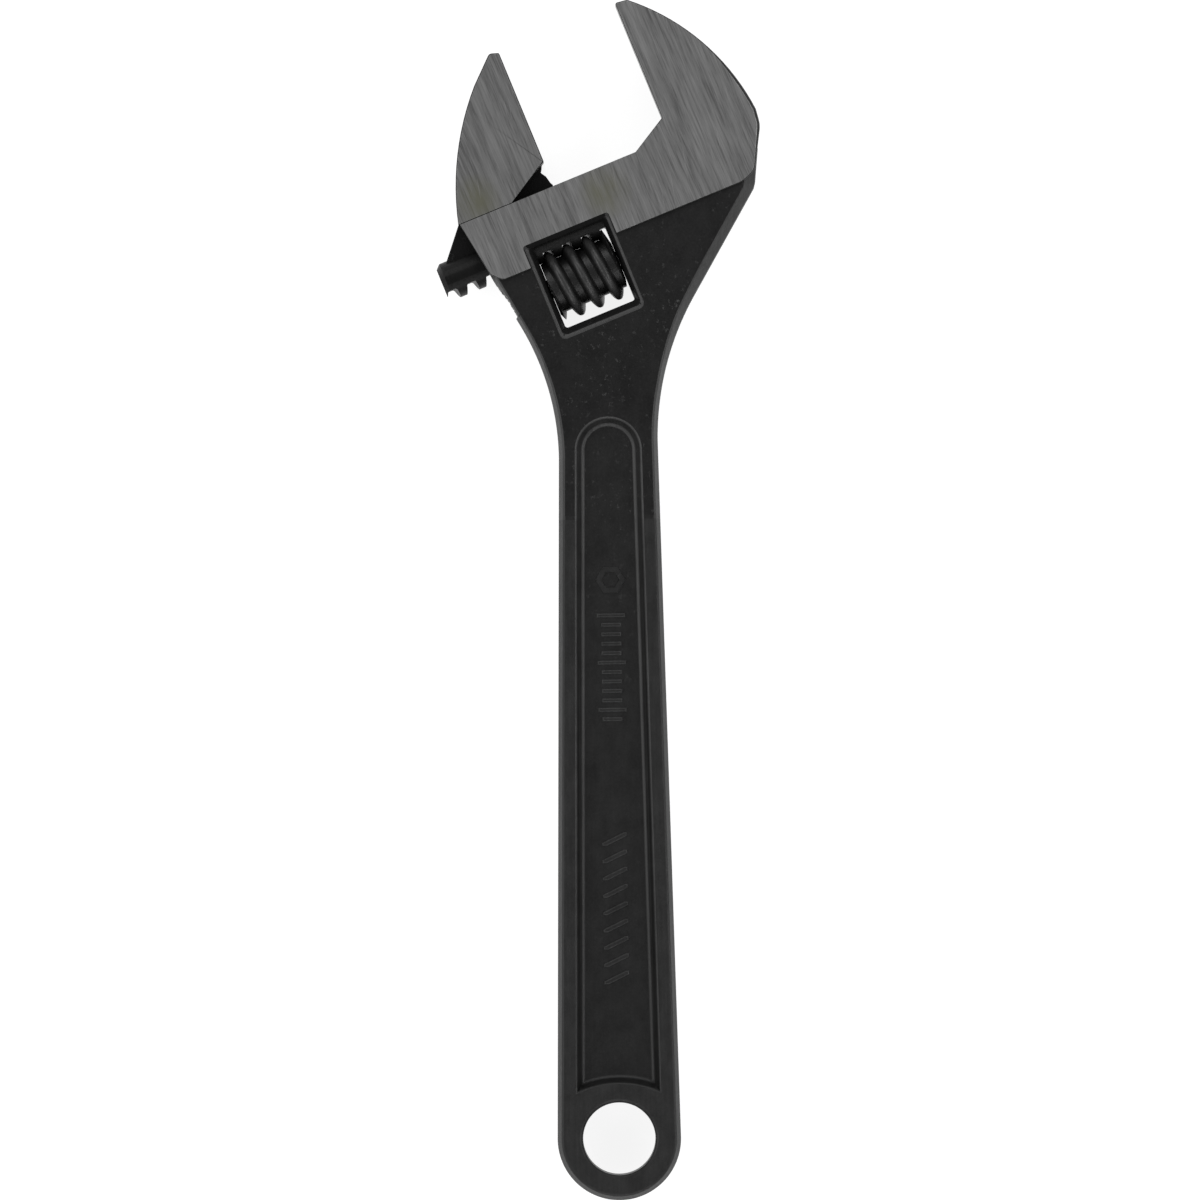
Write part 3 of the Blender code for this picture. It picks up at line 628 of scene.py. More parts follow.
def window_cutter():
    """The worm's window right through the head, flaring at both faces on every side but its top."""
    def outline(flare, height):
        low = WINDOW_FOOT_V - flare * WINDOW_FOOT_FLARE
        front, back = WINDOW_FRONT_U - flare * WINDOW_FRONT_FLARE, WINDOW_BACK_U + flare
        top = WINDOW_TOP_V - WINDOW_TOP_LEAN * min(max((HEAD_HALF_THICKNESS - abs(height)) / 2, 0), 1)
        corners = [(front, low), (back, low), (back, top), (front, top)]
        foot_round = WINDOW_CORNER + flare / 2
        radii = (foot_round, foot_round, WINDOW_TOP_CORNER, WINDOW_TOP_CORNER)
        return [(u, v, height) for u, v in rounded(corners, radii, closed=True)]

    rings = [outline(flare, -height) for height, flare in reversed(WINDOW_FLARE)]
    rings += [outline(flare, height) for height, flare in WINDOW_FLARE]
    return loft("worm_window", rings, HEAD)


def hole_cutter():
    """The hanging hole with a rounded edge on both faces."""
    face, turn = half_thickness(0), HOLE_EDGE_ROUND
    path = []
    for i in range(9):
        angle = radians(80 * i / 8)
        radius = HANGING_HOLE_RADIUS + turn * (1 - cos(angle))
        path.append((radius, face - turn + turn * sin(angle)))
    path.append((HANGING_HOLE_RADIUS + 2 * turn, face + 0.4))
    path.append((HANGING_HOLE_RADIUS + 2 * turn, face + CUT_OVERRUN))
    lower = [(radius, -height) for radius, height in reversed(path)]
    return turned("hanging_hole", [(0, 0), *lower, *path, (0, 0)])


def rack_channel():
    """Where the moving jaw's bar and web run through the head."""
    front = front_edge_at(0)[0] - CUT_OVERRUN
    reach = BAR_RADIUS + SLIDE_CLEARANCE
    end = CHANNEL_END_GAP + BAR_BACK_REACH
    bore = [(0, end), (reach, end), (reach, front), (0, front)]
    channel = turned("rack_channel", bore, along_travel(0, BAR_V))
    half = WEB_HALF_THICKNESS + SLIDE_CLEARANCE
    top = JAW_RELIEF_RISE + 2 * SLIDE_CLEARANCE
    slot = box("web_slot", (front, BAR_V, -half), (2 * SLIDE_CLEARANCE - WEB_SETBACK, top, half), HEAD)
    return [channel, slot]


def pin_bore():
    steps = [
        (PIN_RADIUS + PIN_CLEARANCE, PIN_START + PIN_HEAD_LENGTH + PIN_STEP_GAP),
        (PIN_HEAD_RADIUS + PIN_CLEARANCE, PIN_START - PIN_STEP_GAP),
        (SPOT_FACE_RADIUS, PIN_START - PIN_STEP_GAP - SPOT_FACE_DEPTH - 3 * CUT_OVERRUN),
    ]
    return stepped("pin_bore", PIN_END + PIN_END_GAP, steps, along_travel(0, WORM_V))


def front_scar():
    """A rough chiselled strip down the front edge, over the pin's seat, with a nick at its foot."""
    chance = random.Random(11)
    rings = []
    for z in SCAR_LEVELS:
        inner = []
        for i in range(SCAR_STEPS + 1):
            share = i / SCAR_STEPS
            v = SCAR_TOP + (SCAR_LOW - SCAR_TOP) * share
            depth = SCAR_DEPTH * (0.25 + 0.45 * ease(share, 0, 0.5))
            depth += chance.uniform(-SCAR_ROUGHNESS, SCAR_ROUGHNESS)
            if i == SCAR_STEPS - 1:
                depth = SCAR_DEPTH + SCAR_NICK
            if i in (0, SCAR_STEPS):
                depth = -0.1
            lean = 0.7 + 1.4 * abs(z) / NECK_HALF_THICKNESS
            inner.append((front_edge_at(v)[0] + depth * lean, v, z))
        high, low = inner[0][0] - CUT_OVERRUN, inner[-1][0] - CUT_OVERRUN
        rings.append([(high, SCAR_TOP, z), *inner, (low, SCAR_LOW, z)])
    return loft("front_scar", rings, HEAD)


def head_break(u, v):
    """Rounding of the head's edges: finest where the jaw slides, and most on the back."""
    if v > -0.5 and u < -8:
        return SLIDE_BREAK
    return EDGE_BREAK + (BACK_BREAK - EDGE_BREAK) * ease(u, 16, 21.5) * ease(-v, -24, -6)


def set_wear_and_highlight(obj, rule):
    """Gives each face the wear and painted highlight that the rule says, for the materials to read."""
    wear_and_highlight = obj.data.attributes.new("wear_and_highlight", "FLOAT", "FACE")
    for face in obj.data.polygons:
        wear_and_highlight.data[face.index].value = rule(face.center, abs(face.normal.z))


# How much the black is turned grey, by wear and by painted highlights on edges and rims: 0 is none, and 1 an
# edge turned grey
PANEL_FLOOR_RUB = 0.12
SCAR_RUB = 1.8
WINDOW_RIM_HIGHLIGHT = 1.6
HEAD_EDGE_RUB = 0.3
HANDLE_EDGE_WEAR_AND_SHEEN = 0.35
SIDE_RUB = 0.25
RAIL_HIGHLIGHT = 0.38

# The finish of each face, as its place among the materials of the body and the jaw; the last is a darker
# black laid on as painted shade
BLACKED, GROUND, MILLED, SHADE_PAINTED = range(4)


def paint_faces(obj):
    """Gives each face its finish by number, painted shade among them, and its wear and painted highlight."""
    for face in obj.data.polygons:
        u, v = to_head(face.center.x, face.center.y)
        level, up = abs(face.center.z), abs(face.normal.z)
        kind = BLACKED
        if level > HEAD_HALF_THICKNESS - 0.1 and up > 0.9:
            kind = GROUND
        elif level > HEAD_HALF_THICKNESS - 0.5 and beside_working_face(u, v):
            kind = MILLED
        elif up < 0.4 and on_working_face(u, v):
            kind = MILLED
        # The window's walls and the jaw's deep-lying bar and web get the darker black as painted shade
        elif in_hollow(u, v, level) or on_bar_or_web(obj, level):
            kind = SHADE_PAINTED
        face.material_index = kind
    set_wear_and_highlight(obj, wear_and_highlight_of)


def in_hollow(u, v, level):
    """Inside the worm's window, below the bright line of its rim, or in a bore: where the darker black goes
    on as painted shade.
    """
    across = WINDOW_FRONT_U - RIM_STARTS * WINDOW_FRONT_FLARE < u < WINDOW_BACK_U + RIM_STARTS
    along = WINDOW_FOOT_V - RIM_STARTS * WINDOW_FOOT_FLARE < v < WINDOW_TOP_V + 0.1
    return across and along and level < HEAD_HALF_THICKNESS - 0.02


def on_bar_or_web(obj, level):
    return obj.name == "sliding_jaw" and level < HEAD_HALF_THICKNESS - 1.5


def on_working_face(u, v):
    """Whether a side face in the head frame lies on a gripping or sliding surface."""
    on_fixed = -0.3 < u < 0.3 and v > THROAT_RISE - 0.3
    on_moving = abs(u - SLIDE_FACE) < 0.3 and v > JAW_RELIEF_RISE
    on_slide = -60 < u < 1 and -0.4 < v < 0.4
    throat = abs(v + u * tan(THROAT_ANGLE) - THROAT_RISE) < 0.4 and -10 < u < 0.3
    return on_fixed or on_moving or on_slide or throat


def beside_working_face(u, v):
    """On the narrow broken edge along a gripping face."""
    on_fixed = -0.3 < u < EDGE_BREAK and v > THROAT_RISE
    on_moving = SLIDE_FACE - JAW_BREAK < u < SLIDE_FACE + 0.3 and v > JAW_RELIEF_RISE - 0.2
    return on_fixed or on_moving


def wear_and_highlight_of(centre, up):
    """0 in hollows, 1 on edges that stand out, and more where wear and painted highlights make them bright;
    the panel's walls also carry painted shade toward its foot.
    """
    u, v = to_head(centre.x, centre.y)
    y, level = centre.y, abs(centre.z)
    side = min(centre.x - front_x(y), back_x(y) - centre.x)
    in_panel = PANEL_FOOT_Y - 1 < y < PANEL_TOP_Y + PANEL_TOP_RADIUS + 1 and side > PANEL_RAIL
    if in_panel and up >= FLAT:
        return PANEL_FLOOR_RUB
    if in_panel:
        # Wear, with painted shade growing toward the panel's foot, and the rims painted lighter than the
        # walls as a highlight
        panel_wear_and_light = 0.25 + 1.2 * ease(y, 40, 150)
        return panel_wear_and_light if up > 0.6 else 0.35 * panel_wear_and_light
    on_scar = u < WINDOW_FRONT_U - 3 and side < 4 * SCAR_DEPTH and SCAR_LOW < v < SCAR_TOP
    if on_scar and up < FLAT:
        return SCAR_RUB
    # The window's rim gets a painted highlight, its thin bright line
    beside_window = WINDOW_FRONT_U - 3 < u < WINDOW_BACK_U + 3 and WINDOW_FOOT_V - 3.2 < v < WINDOW_TOP_V
    if beside_window and 0.3 < up < FLAT:
        return WINDOW_RIM_HIGHLIGHT
    if level > NECK_HALF_THICKNESS + 0.1:
        return HEAD_EDGE_RUB
    # Drafted edges: wear, and a painted reflection of the bright surroundings that grows toward the neck
    if 0.15 < up < 0.97:
        return HANDLE_EDGE_WEAR_AND_SHEEN + (1 - HANDLE_EDGE_WEAR_AND_SHEEN) * ease(y, 120, 185)
    if up <= 0.15:
        return SIDE_RUB
    # The tapered rails are painted lighter than the neck's flats, a painted highlight for their tilt
    on_rail = y < TAPER_TOP_Y and half_thickness(y) - level < 0.6
    return RAIL_HIGHLIGHT if on_rail else 0.0


def wrench_forging():
    body = handle_blank()
    head = plate("head_plate", head_outline(), HEAD_HALF_THICKNESS, head_break, HEAD)
    combine(body, [head], "UNION")
    cutters = [hole_cutter(), panel_cutter(1), panel_cutter(-1), window_cutter(), *rack_channel()]
    cutters += [pin_bore(), front_scar()]
    combine(body, cutters, "DIFFERENCE")
    clean(body)
    paint_faces(body)
    return body


# The moving jaw

def jaw_outline():
    """The moving jaw's plate, as corners with their radii."""
    foot_v = FOOT_CLEARANCE
    relief_run = (JAW_RELIEF_RISE - foot_v) / tan(THROAT_ANGLE)
    tip = (SLIDE_FACE - JAW_TIP_LAND, JAW_TIP_V + JAW_TIP_RISE)
    outer = bulge((SLIDE_FACE - JAW_FOOT_WIDTH, foot_v), tip, JAW_OUTER_RADIUS)
    corners = [
        (outer[0], 0),
        ((SLIDE_FACE - relief_run, foot_v), 0.2),
        ((SLIDE_FACE, JAW_RELIEF_RISE), 0.25),
        ((SLIDE_FACE, JAW_TIP_V + JAW_TIP_RISE - 2 * JAW_TIP_DROP), 0.5),
        (tip, 1.1),
        *[(point, 0) for point in reversed(outer[1:-3])],
    ]
    return rounded(*zip(*corners), closed=True)


def jaw_break(u, v):
    """Rounding of the moving jaw's edges, finest along its foot."""
    return SLIDE_BREAK if v < 0.3 else JAW_BREAK


def web_outline():
    """The tongue between plate and bar, with the rough front edge that forging leaves."""
    chance = random.Random(7)
    outer = SLIDE_FACE - JAW_FOOT_WIDTH
    bar_front = SLIDE_FACE - BAR_FRONT_REACH + BAR_END_CHAMFER
    toe = SLIDE_FACE - WEB_SETBACK
    rough = []
    for i in range(WEB_ROUGH_STEPS + 1):
        share = i / WEB_ROUGH_STEPS
        hollow = WEB_HOLLOW * sin(pi * min(share * 1.5, 1)) ** 2
        lead = WEB_LEAD * ease(share, 0.75, 1)
        torn = chance.uniform(-WEB_ROUGHNESS, WEB_ROUGHNESS)
        rough.append((toe + lead - hollow + torn, WEB_ROUGH_LOW + WEB_ROUGH_RISE * (1 - share)))
    return [
        (bar_front, BAR_V),
        (toe, BAR_V),
        (toe + 0.4, 0.1),
        *reversed(rough),
        (outer + WEB_OVERLAP, JAW_RELIEF_RISE),
        (outer, SLIDE_CLEARANCE / 2),
        (bar_front, BAR_V + BAR_RADIUS / 2),
    ]


def rack_gap():
    """One gap between rack teeth, with the middle of its root at the origin."""
    slope = tan(RACK_FLANK)
    root = RACK_PITCH - RACK_TIP_WIDTH - 2 * RACK_DEPTH * slope
    foot = RACK_DEPTH + CUT_OVERRUN / 2
    mouth = root + 2 * foot * slope
    corners = [(-root / 2, 0), (-mouth / 2, -foot), (mouth / 2, -foot), (root / 2, 0)]
    outline = rounded(corners, (0.55, 0, 0, 0.55), closed=True, steps=4)
    return loft("rack_gap", [[(x, y, z) for x, y in outline] for z in (-2 * BAR_RADIUS, 2 * BAR_RADIUS)])


def sliding_jaw(material):
    jaw = plate("sliding_jaw", jaw_outline(), HEAD_HALF_THICKNESS, jaw_break, HEAD)
    front = SLIDE_FACE - BAR_FRONT_REACH
    end = SLIDE_FACE + BAR_BACK_REACH
    bar_profile = [
        (0, end), (BAR_RADIUS - BAR_BACK_CHAMFER, end), (BAR_RADIUS, end - BAR_BACK_CHAMFER),
        (BAR_RADIUS, front + BAR_END_CHAMFER), (BAR_RADIUS - BAR_END_CHAMFER, front), (0, front),
    ]
    bar = turned("rack_bar", bar_profile, along_travel(0, BAR_V))
    web = plate("jaw_web", web_outline(), WEB_HALF_THICKNESS, lambda u, v: WEB_BREAK, HEAD)
    combine(jaw, [web, bar], "UNION")

    helix = atan(RACK_PITCH / (pi * (2 * WORM_TIP_RADIUS - THREAD_DEPTH)))
    gap = rack_gap()
    back_gap = RACK_PITCH / 2 - FIRST_TOOTH + RACK_PITCH * floor(BAR_BACK_REACH / RACK_PITCH)
    count = ceil((back_gap + BAR_FRONT_REACH) / RACK_PITCH)
    first = SLIDE_FACE + back_gap
    jaw.data.transform(HEAD.inverted())
    root = RACK_ROOT_V - ROOT_FILL
    values = {"Gap": gap, "Gaps": count, "Pitch": RACK_PITCH, "First gap": first, "Root": root}
    grow(jaw, rack_tree(material), {**values, "Slant": helix})
    bpy.data.objects.remove(gap)
    jaw.data.transform(HEAD)
    clean(jaw)
    paint_faces(jaw)
    return jaw


# Geometry node trees

def new_tree(name, floats, **others):
    """An empty tree with one geometry in, one out, and named inputs: numbers, then those of other kinds."""
    tree = bpy.data.node_groups.new(name, "GeometryNodeTree")
    tree.interface.new_socket("Geometry", in_out="INPUT", socket_type="NodeSocketGeometry")
    tree.interface.new_socket("Geometry", in_out="OUTPUT", socket_type="NodeSocketGeometry")
    for label, kind in {**dict.fromkeys(floats, "Float"), **others}.items():
        tree.interface.new_socket(label, in_out="INPUT", socket_type="NodeSocket" + kind)
    return tree, tree.nodes.new("NodeGroupInput").outputs


def put(tree, kind, inputs=None, **settings):
    """A node with its settings, and its inputs set or linked."""
    made = tree.nodes.new(kind)
    for name, value in settings.items():
        setattr(made, name, value)
    for key, value in (inputs or {}).items():
        if isinstance(value, bpy.types.NodeSocket):
            tree.links.new(value, made.inputs[key])
        else:
            made.inputs[key].default_value = value
    return made


def calc(tree, operation, *values):
    """One step of arithmetic on sockets and numbers."""
    return put(tree, "ShaderNodeMath", dict(enumerate(values)), operation=operation).outputs[0]


def vector_of(tree, **parts):
    inputs = {name.upper(): value for name, value in parts.items()}
    return put(tree, "ShaderNodeCombineXYZ", inputs).outputs[0]


def row_of(tree, item, count, start, step, **settings):
    """Copies of an object along a line."""
    along = {"Count": count, "Start Location": start, "Offset": step}
    line = put(tree, "GeometryNodeMeshLine", along).outputs[0]
    shape = put(tree, "GeometryNodeObjectInfo", {"Object": item}).outputs["Geometry"]
    inputs = {"Points": line, "Instance": shape, **settings}
    return put(tree, "GeometryNodeInstanceOnPoints", inputs).outputs[0]


def drum(tree, sides, radius, depth, segments=1):
    inputs = {"Vertices": sides, "Side Segments": segments, "Radius": radius, "Depth": depth}
    return put(tree, "GeometryNodeMeshCylinder", inputs).outputs[0]


def cut_from(tree, blank, *tools):
    cut = put(tree, "GeometryNodeMeshBoolean", {"Mesh 1": blank}, operation="DIFFERENCE", solver="EXACT")
    for tool in tools:
        tree.links.new(tool, cut.inputs["Mesh 2"])
    return cut.outputs["Mesh"]


def end_tree(tree, geometry, material):
    """Realizes instances and puts the material on, as every tree here ends."""
    real = put(tree, "GeometryNodeRealizeInstances", {"Geometry": geometry}).outputs[0]
    coated = put(tree, "GeometryNodeSetMaterial", {"Geometry": real, "Material": material}).outputs[0]
    put(tree, "NodeGroupOutput", {0: coated})
    return tree


def grow(obj, tree, values):
    """Runs a tree on an object, and keeps the result as its mesh."""
    modifier = obj.modifiers.new(tree.name, "NODES")
    modifier.node_group = tree
    for item in tree.interface.items_tree:
        if item.in_out == "INPUT" and item.name in values:
            modifier[item.identifier] = values[item.name]
    settle(obj)


def rack_tree(material):
    """Cuts a row of equal gaps into a bar that lies along X."""
    sizes = ("Pitch", "First gap", "Root", "Slant")
    tree, given = new_tree("rack_gaps", sizes, Gap="Object", Gaps="Int")
    start = vector_of(tree, x=given["First gap"], y=given["Root"])
    step = vector_of(tree, x=calc(tree, "MULTIPLY", given["Pitch"], -1.0))
    slant = vector_of(tree, y=given["Slant"])
    turn = put(tree, "FunctionNodeEulerToRotation", {0: slant}).outputs[0]
    row = row_of(tree, given["Gap"], given["Gaps"], start, step, Rotation=turn)
    gaps = put(tree, "GeometryNodeRealizeInstances", {"Geometry": row}).outputs[0]
    return end_tree(tree, cut_from(tree, given["Geometry"], gaps), material)


def worm_tree(material):
    """A screw whose radius follows one rule: a round rib wound once a pitch, trimmed by end cones."""
    sizes = (
        "Length", "Pitch", "Start", "Root radius", "Tip radius", "Half foot", "Crest round", "Foot round",
        "Core radius", "Front radius", "Back radius", "End run", "Bore radius", "Pocket radius",
        "Pocket depth",
    )
    tree, given = new_tree("worm_thread", sizes, Around="Int", Along="Int")

    def work(operation, *values):
        return calc(tree, operation, *values)

    blank = drum(tree, given["Around"], 1.0, given["Length"], given["Along"])
    place = put(tree, "GeometryNodeInputPosition").outputs[0]
    x, y, height = put(tree, "ShaderNodeSeparateXYZ", {0: place}).outputs
    angle = work("ARCTAN2", y, x)
    rise = work("DIVIDE", work("SUBTRACT", height, given["Start"]), given["Pitch"])
    phase = work("SUBTRACT", rise, work("DIVIDE", angle, 2 * pi))
    off_centre = work("ABSOLUTE", work("SUBTRACT", phase, work("ROUND", phase)))
    share = work("DIVIDE", work("MULTIPLY", off_centre, given["Pitch"]), given["Half foot"])
    fall = work("POWER", work("MINIMUM", share, 1.0), given["Crest round"])
    rib = work("POWER", work("SUBTRACT", 1.0, fall), given["Foot round"])
    rib_height = work("SUBTRACT", given["Tip radius"], given["Root radius"])
    wound_radius = work("MULTIPLY_ADD", rib, rib_height, given["Root radius"])
    radius = work("MAXIMUM", wound_radius, given["Core radius"])
    half = work("MULTIPLY", given["Length"], 0.5)
    for end, way in (("Front radius", 1.0), ("Back radius", -1.0)):
        slope = work("DIVIDE", work("SUBTRACT", given["Tip radius"], given[end]), given["End run"])
        from_end = work("MULTIPLY_ADD", height, way, half)
        radius = work("MINIMUM", radius, work("MULTIPLY_ADD", from_end, slope, given[end]))
    across = work("MULTIPLY", radius, work("COSINE", angle))
    up = work("MULTIPLY", radius, work("SINE", angle))
    wound = vector_of(tree, x=across, y=up, z=height)
    screw = put(tree, "GeometryNodeSetPosition", {"Geometry": blank, "Position": wound}).outputs[0]
    bore = drum(tree, 64, given["Bore radius"], work("ADD", given["Length"], CUT_OVERRUN))
    pocket = drum(tree, 64, given["Pocket radius"], work("MULTIPLY", given["Pocket depth"], 2.0))
    front_end = vector_of(tree, z=work("MULTIPLY", half, -1.0))
    at_front = {"Geometry": pocket, "Translation": front_end}
    pocket = put(tree, "GeometryNodeTransform", at_front).outputs[0]
    return end_tree(tree, cut_from(tree, screw, bore, pocket), material)


def spring_tree(material):
    """A round wire wound into a coil."""
    tree, given = new_tree("spring_coil", ("Turns", "Radius", "Length", "Wire"))
    ends = {"Start Radius": given["Radius"], "End Radius": given["Radius"]}
    wound = {"Resolution": 40, "Rotations": given["Turns"], "Height": given["Length"], **ends}
    coil = put(tree, "GeometryNodeCurveSpiral", wound).outputs[0]
    wire = put(tree, "GeometryNodeCurvePrimitiveCircle", {"Resolution": 14})
    tree.links.new(calc(tree, "MULTIPLY", given["Wire"], 0.5), wire.inputs["Radius"])
    drawn = {"Curve": coil, "Profile Curve": wire.outputs[0], "Fill Caps": True}
    return end_tree(tree, put(tree, "GeometryNodeCurveToMesh", drawn).outputs[0], material)


def marks_tree(material):
    """A row of copies of one mark, every fifth one longer, along a sloping line."""
    others = {"Mark": "Object", "Marks": "Int", "First": "Vector", "Step": "Vector"}
    tree, given = new_tree("panel_marks", ["Long"], **others)
    index = put(tree, "GeometryNodeInputIndex").outputs[0]
    fifth = calc(tree, "LESS_THAN", calc(tree, "MODULO", index, 5.0), 0.5)
    extra = calc(tree, "SUBTRACT", given["Long"], 1.0)
    scale = vector_of(tree, x=calc(tree, "MULTIPLY_ADD", fifth, extra, 1.0), y=1.0, z=1.0)
    row = row_of(tree, given["Mark"], given["Marks"], given["First"], given["Step"], Scale=scale)
    return end_tree(tree, row, material)


# Worm, pin, spring and panel marks

def worm_screw(material):
    tooth = SLIDE_FACE - FIRST_TOOTH - WORM_U
    worm = empty_mesh("worm_screw")
    grow(worm, worm_tree(material), {
        "Around": 144, "Along": 200, "Length": WORM_LENGTH, "Pitch": RACK_PITCH,
        "Start": tooth + RACK_PITCH / 4, "Root radius": WORM_TIP_RADIUS - THREAD_DEPTH,
        "Core radius": WORM_CORE_RADIUS, "Tip radius": WORM_TIP_RADIUS, "Half foot": RIB_HALF_FOOT,
        "Crest round": RIB_CREST_ROUND, "Foot round": RIB_FOOT_ROUND,
        "Front radius": WORM_FRONT_RADIUS, "Back radius": WORM_BACK_RADIUS, "End run": WORM_END_RUN,
        "Bore radius": PIN_RADIUS + PIN_CLEARANCE, "Pocket radius": POCKET_RADIUS,
        "Pocket depth": SPRING_POCKET_DEPTH,
    })
    # The ribs are lightened toward their crests: wear, and a painted highlight along them
    set_wear_and_highlight(worm, lambda centre, up: ease(centre.xy.length, WORM_CORE_RADIUS + 1.2, WORM_TIP_RADIUS))
    worm.data.transform(along_travel(WORM_U, WORM_V))
    return worm


def worm_axle():
    profile = [
        (0, PIN_END), (PIN_RADIUS - PIN_BEVEL, PIN_END), (PIN_RADIUS, PIN_END - PIN_BEVEL),
        (PIN_RADIUS, PIN_START + PIN_HEAD_LENGTH), (PIN_HEAD_RADIUS, PIN_START + PIN_HEAD_LENGTH),
        (PIN_HEAD_RADIUS, PIN_START + PIN_BEVEL), (PIN_HEAD_RADIUS - PIN_BEVEL, PIN_START), (0, PIN_START),
    ]
    pin = turned("worm_axle", profile, along_travel(0, WORM_V))
    half, reach = PIN_SLOT_WIDTH / 2, 2 * PIN_HEAD_RADIUS
    low, high = (-half, -reach, PIN_START - CUT_OVERRUN), (half, reach, PIN_START + PIN_SLOT_DEPTH)
    combine(pin, [box("slot", low, high, along_travel(0, WORM_V))], "DIFFERENCE")
    clean(pin)
    return pin


def end_play_spring(material):
    end_gap = SPRING_WIRE / 2 + SPRING_END_GAP
    low = WINDOW_FRONT_U + end_gap
    high = WORM_U - WORM_LENGTH / 2 + SPRING_POCKET_DEPTH - end_gap
    spring = empty_mesh("end_play_spring")
    values = {"Turns": SPRING_COILS, "Radius": SPRING_RADIUS, "Length": high - low, "Wire": SPRING_WIRE}
    grow(spring, spring_tree(material), values)
    spring.data.transform(along_travel(low, WORM_V))
    return spring


def raised_mark(outline):
    """A low raised mark with drafted walls, its foot sunk under the floor it stands on."""
    steps = inward(outline)
    rings = []
    for inset, height in ((0, -MARK_SUNK), (0, 0), (0.16, MARK_HEIGHT * 0.75), (0.3, MARK_HEIGHT)):
        corners = zip(outline, steps)
        rings.append([(x + step.x * inset, y + step.y * inset, height) for (x, y), step in corners])
    return loft("raised_mark", rings)


def panel_floor(y):
    return tapered_half(y) - PANEL_DEPTH


def mark_row(name, outline, count, top_y, gap, fifth_length, material):
    """Raised marks down the panel's floor from a height of Y, with a length for every fifth."""
    mark = raised_mark(outline)
    row = empty_mesh(name)
    first = Vector((0, top_y, panel_floor(top_y)))
    step = Vector((0, -gap, -gap * (NECK_HALF_THICKNESS - HOLE_HALF_THICKNESS) / TAPER_TOP_Y))
    values = {"Mark": mark, "Marks": count, "First": first, "Step": step, "Long": fifth_length}
    grow(row, marks_tree(material), values)
    bpy.data.objects.remove(mark)
    return row


def panel_marks(side, material):
    """A six-sided nut sign over a row of measure bars, and a band of slanted bars further down."""
    name = "panel_marks_" + ("top" if side > 0 else "under")
    marks = mark_row(name, MEASURE_BAR, 12, 133.0, 2.4, 1.42, material)
    band = mark_row("slant_band", SLANT_BAR, 9, 76.0, 4.4, 1.0, material)
    form = bmesh.new()
    for source in (marks, band):
        form.from_mesh(source.data)
    rings = []
    for radius, height in NUT_SIGN:
        level = panel_floor(NUT_SIGN_Y) + height
        ring = arc((0, NUT_SIGN_Y), radius, 0, 300, 5)
        rings.append([(x, y, level) for x, y in ring])
    skin(form, [*rings, rings[0]])
    bmesh.ops.remove_doubles(form, verts=form.verts, dist=1e-4)
    bmesh.ops.recalc_face_normals(form, faces=form.faces)
    if side < 0:
        bmesh.ops.transform(form, matrix=Matrix.Rotation(pi, 4, "Y"), verts=form.verts)
    form.to_mesh(marks.data)
    form.free()
    bpy.data.objects.remove(band)
    # The marks are lightened, their walls more than their tops: wear, and a painted highlight on the walls
    set_wear_and_highlight(marks, lambda centre, up: 0.3 if up > 0.99 else 0.9)
    return marks


# Materials. A grain's scales are in cycles to the metre along X, Y and Z

def new_material(name, metallic, specular=0.5):
    made = bpy.data.materials.new(name)
    made.use_nodes = True
    inputs = made.node_tree.nodes["Principled BSDF"].inputs
    inputs["Metallic"].default_value = metallic
    inputs["Specular IOR Level"].default_value = specular
    return made, made.node_tree


def place_in(tree):
    return put(tree, "ShaderNodeTexCoord").outputs["Object"]


def grain(tree, scale, turn=0.0, detail=3.0, roughness=0.55):
    """Noise on the object's coordinates, turned about Z by turn and then stretched."""
    place = place_in(tree)
    if turn:
        place = put(tree, "ShaderNodeMapping", {"Vector": place, "Rotation": (0, 0, turn)}).outputs[0]
    place = put(tree, "ShaderNodeMapping", {"Vector": place, "Scale": scale}).outputs[0]
    inputs = {"Vector": place, "Scale": 1.0, "Detail": detail, "Roughness": roughness}
    return put(tree, "ShaderNodeTexNoise", inputs).outputs["Fac"]


def spread(tree, value, low, high, start=0.3, end=0.7):
    """The value taken from start to end and given as low to high, held at both."""
    inputs = {"Value": value, "From Min": start, "From Max": end, "To Min": low, "To Max": high}
    return put(tree, "ShaderNodeMapRange", inputs).outputs[0]


def shade(tree, factor, first, second):
    """The first colour turning into the second."""
    return put(tree, "ShaderNodeMix", {0: factor, 6: first, 7: second}, data_type="RGBA").outputs[2]


def grey(level):
    return (level, level, level, 1)


def coat(made, tone, roughness, height, distance, strength=0.5):
    """Puts a colour, a roughness and a relief of so many metres on a material."""
    tree = made.node_tree
    inputs = tree.nodes["Principled BSDF"].inputs
    bump = put(tree, "ShaderNodeBump", {"Height": height, "Distance": distance, "Strength": strength})
    tree.links.new(tone, inputs["Base Color"])
    tree.links.new(roughness, inputs["Roughness"])
    tree.links.new(bump.outputs[0], inputs["Normal"])
    return made


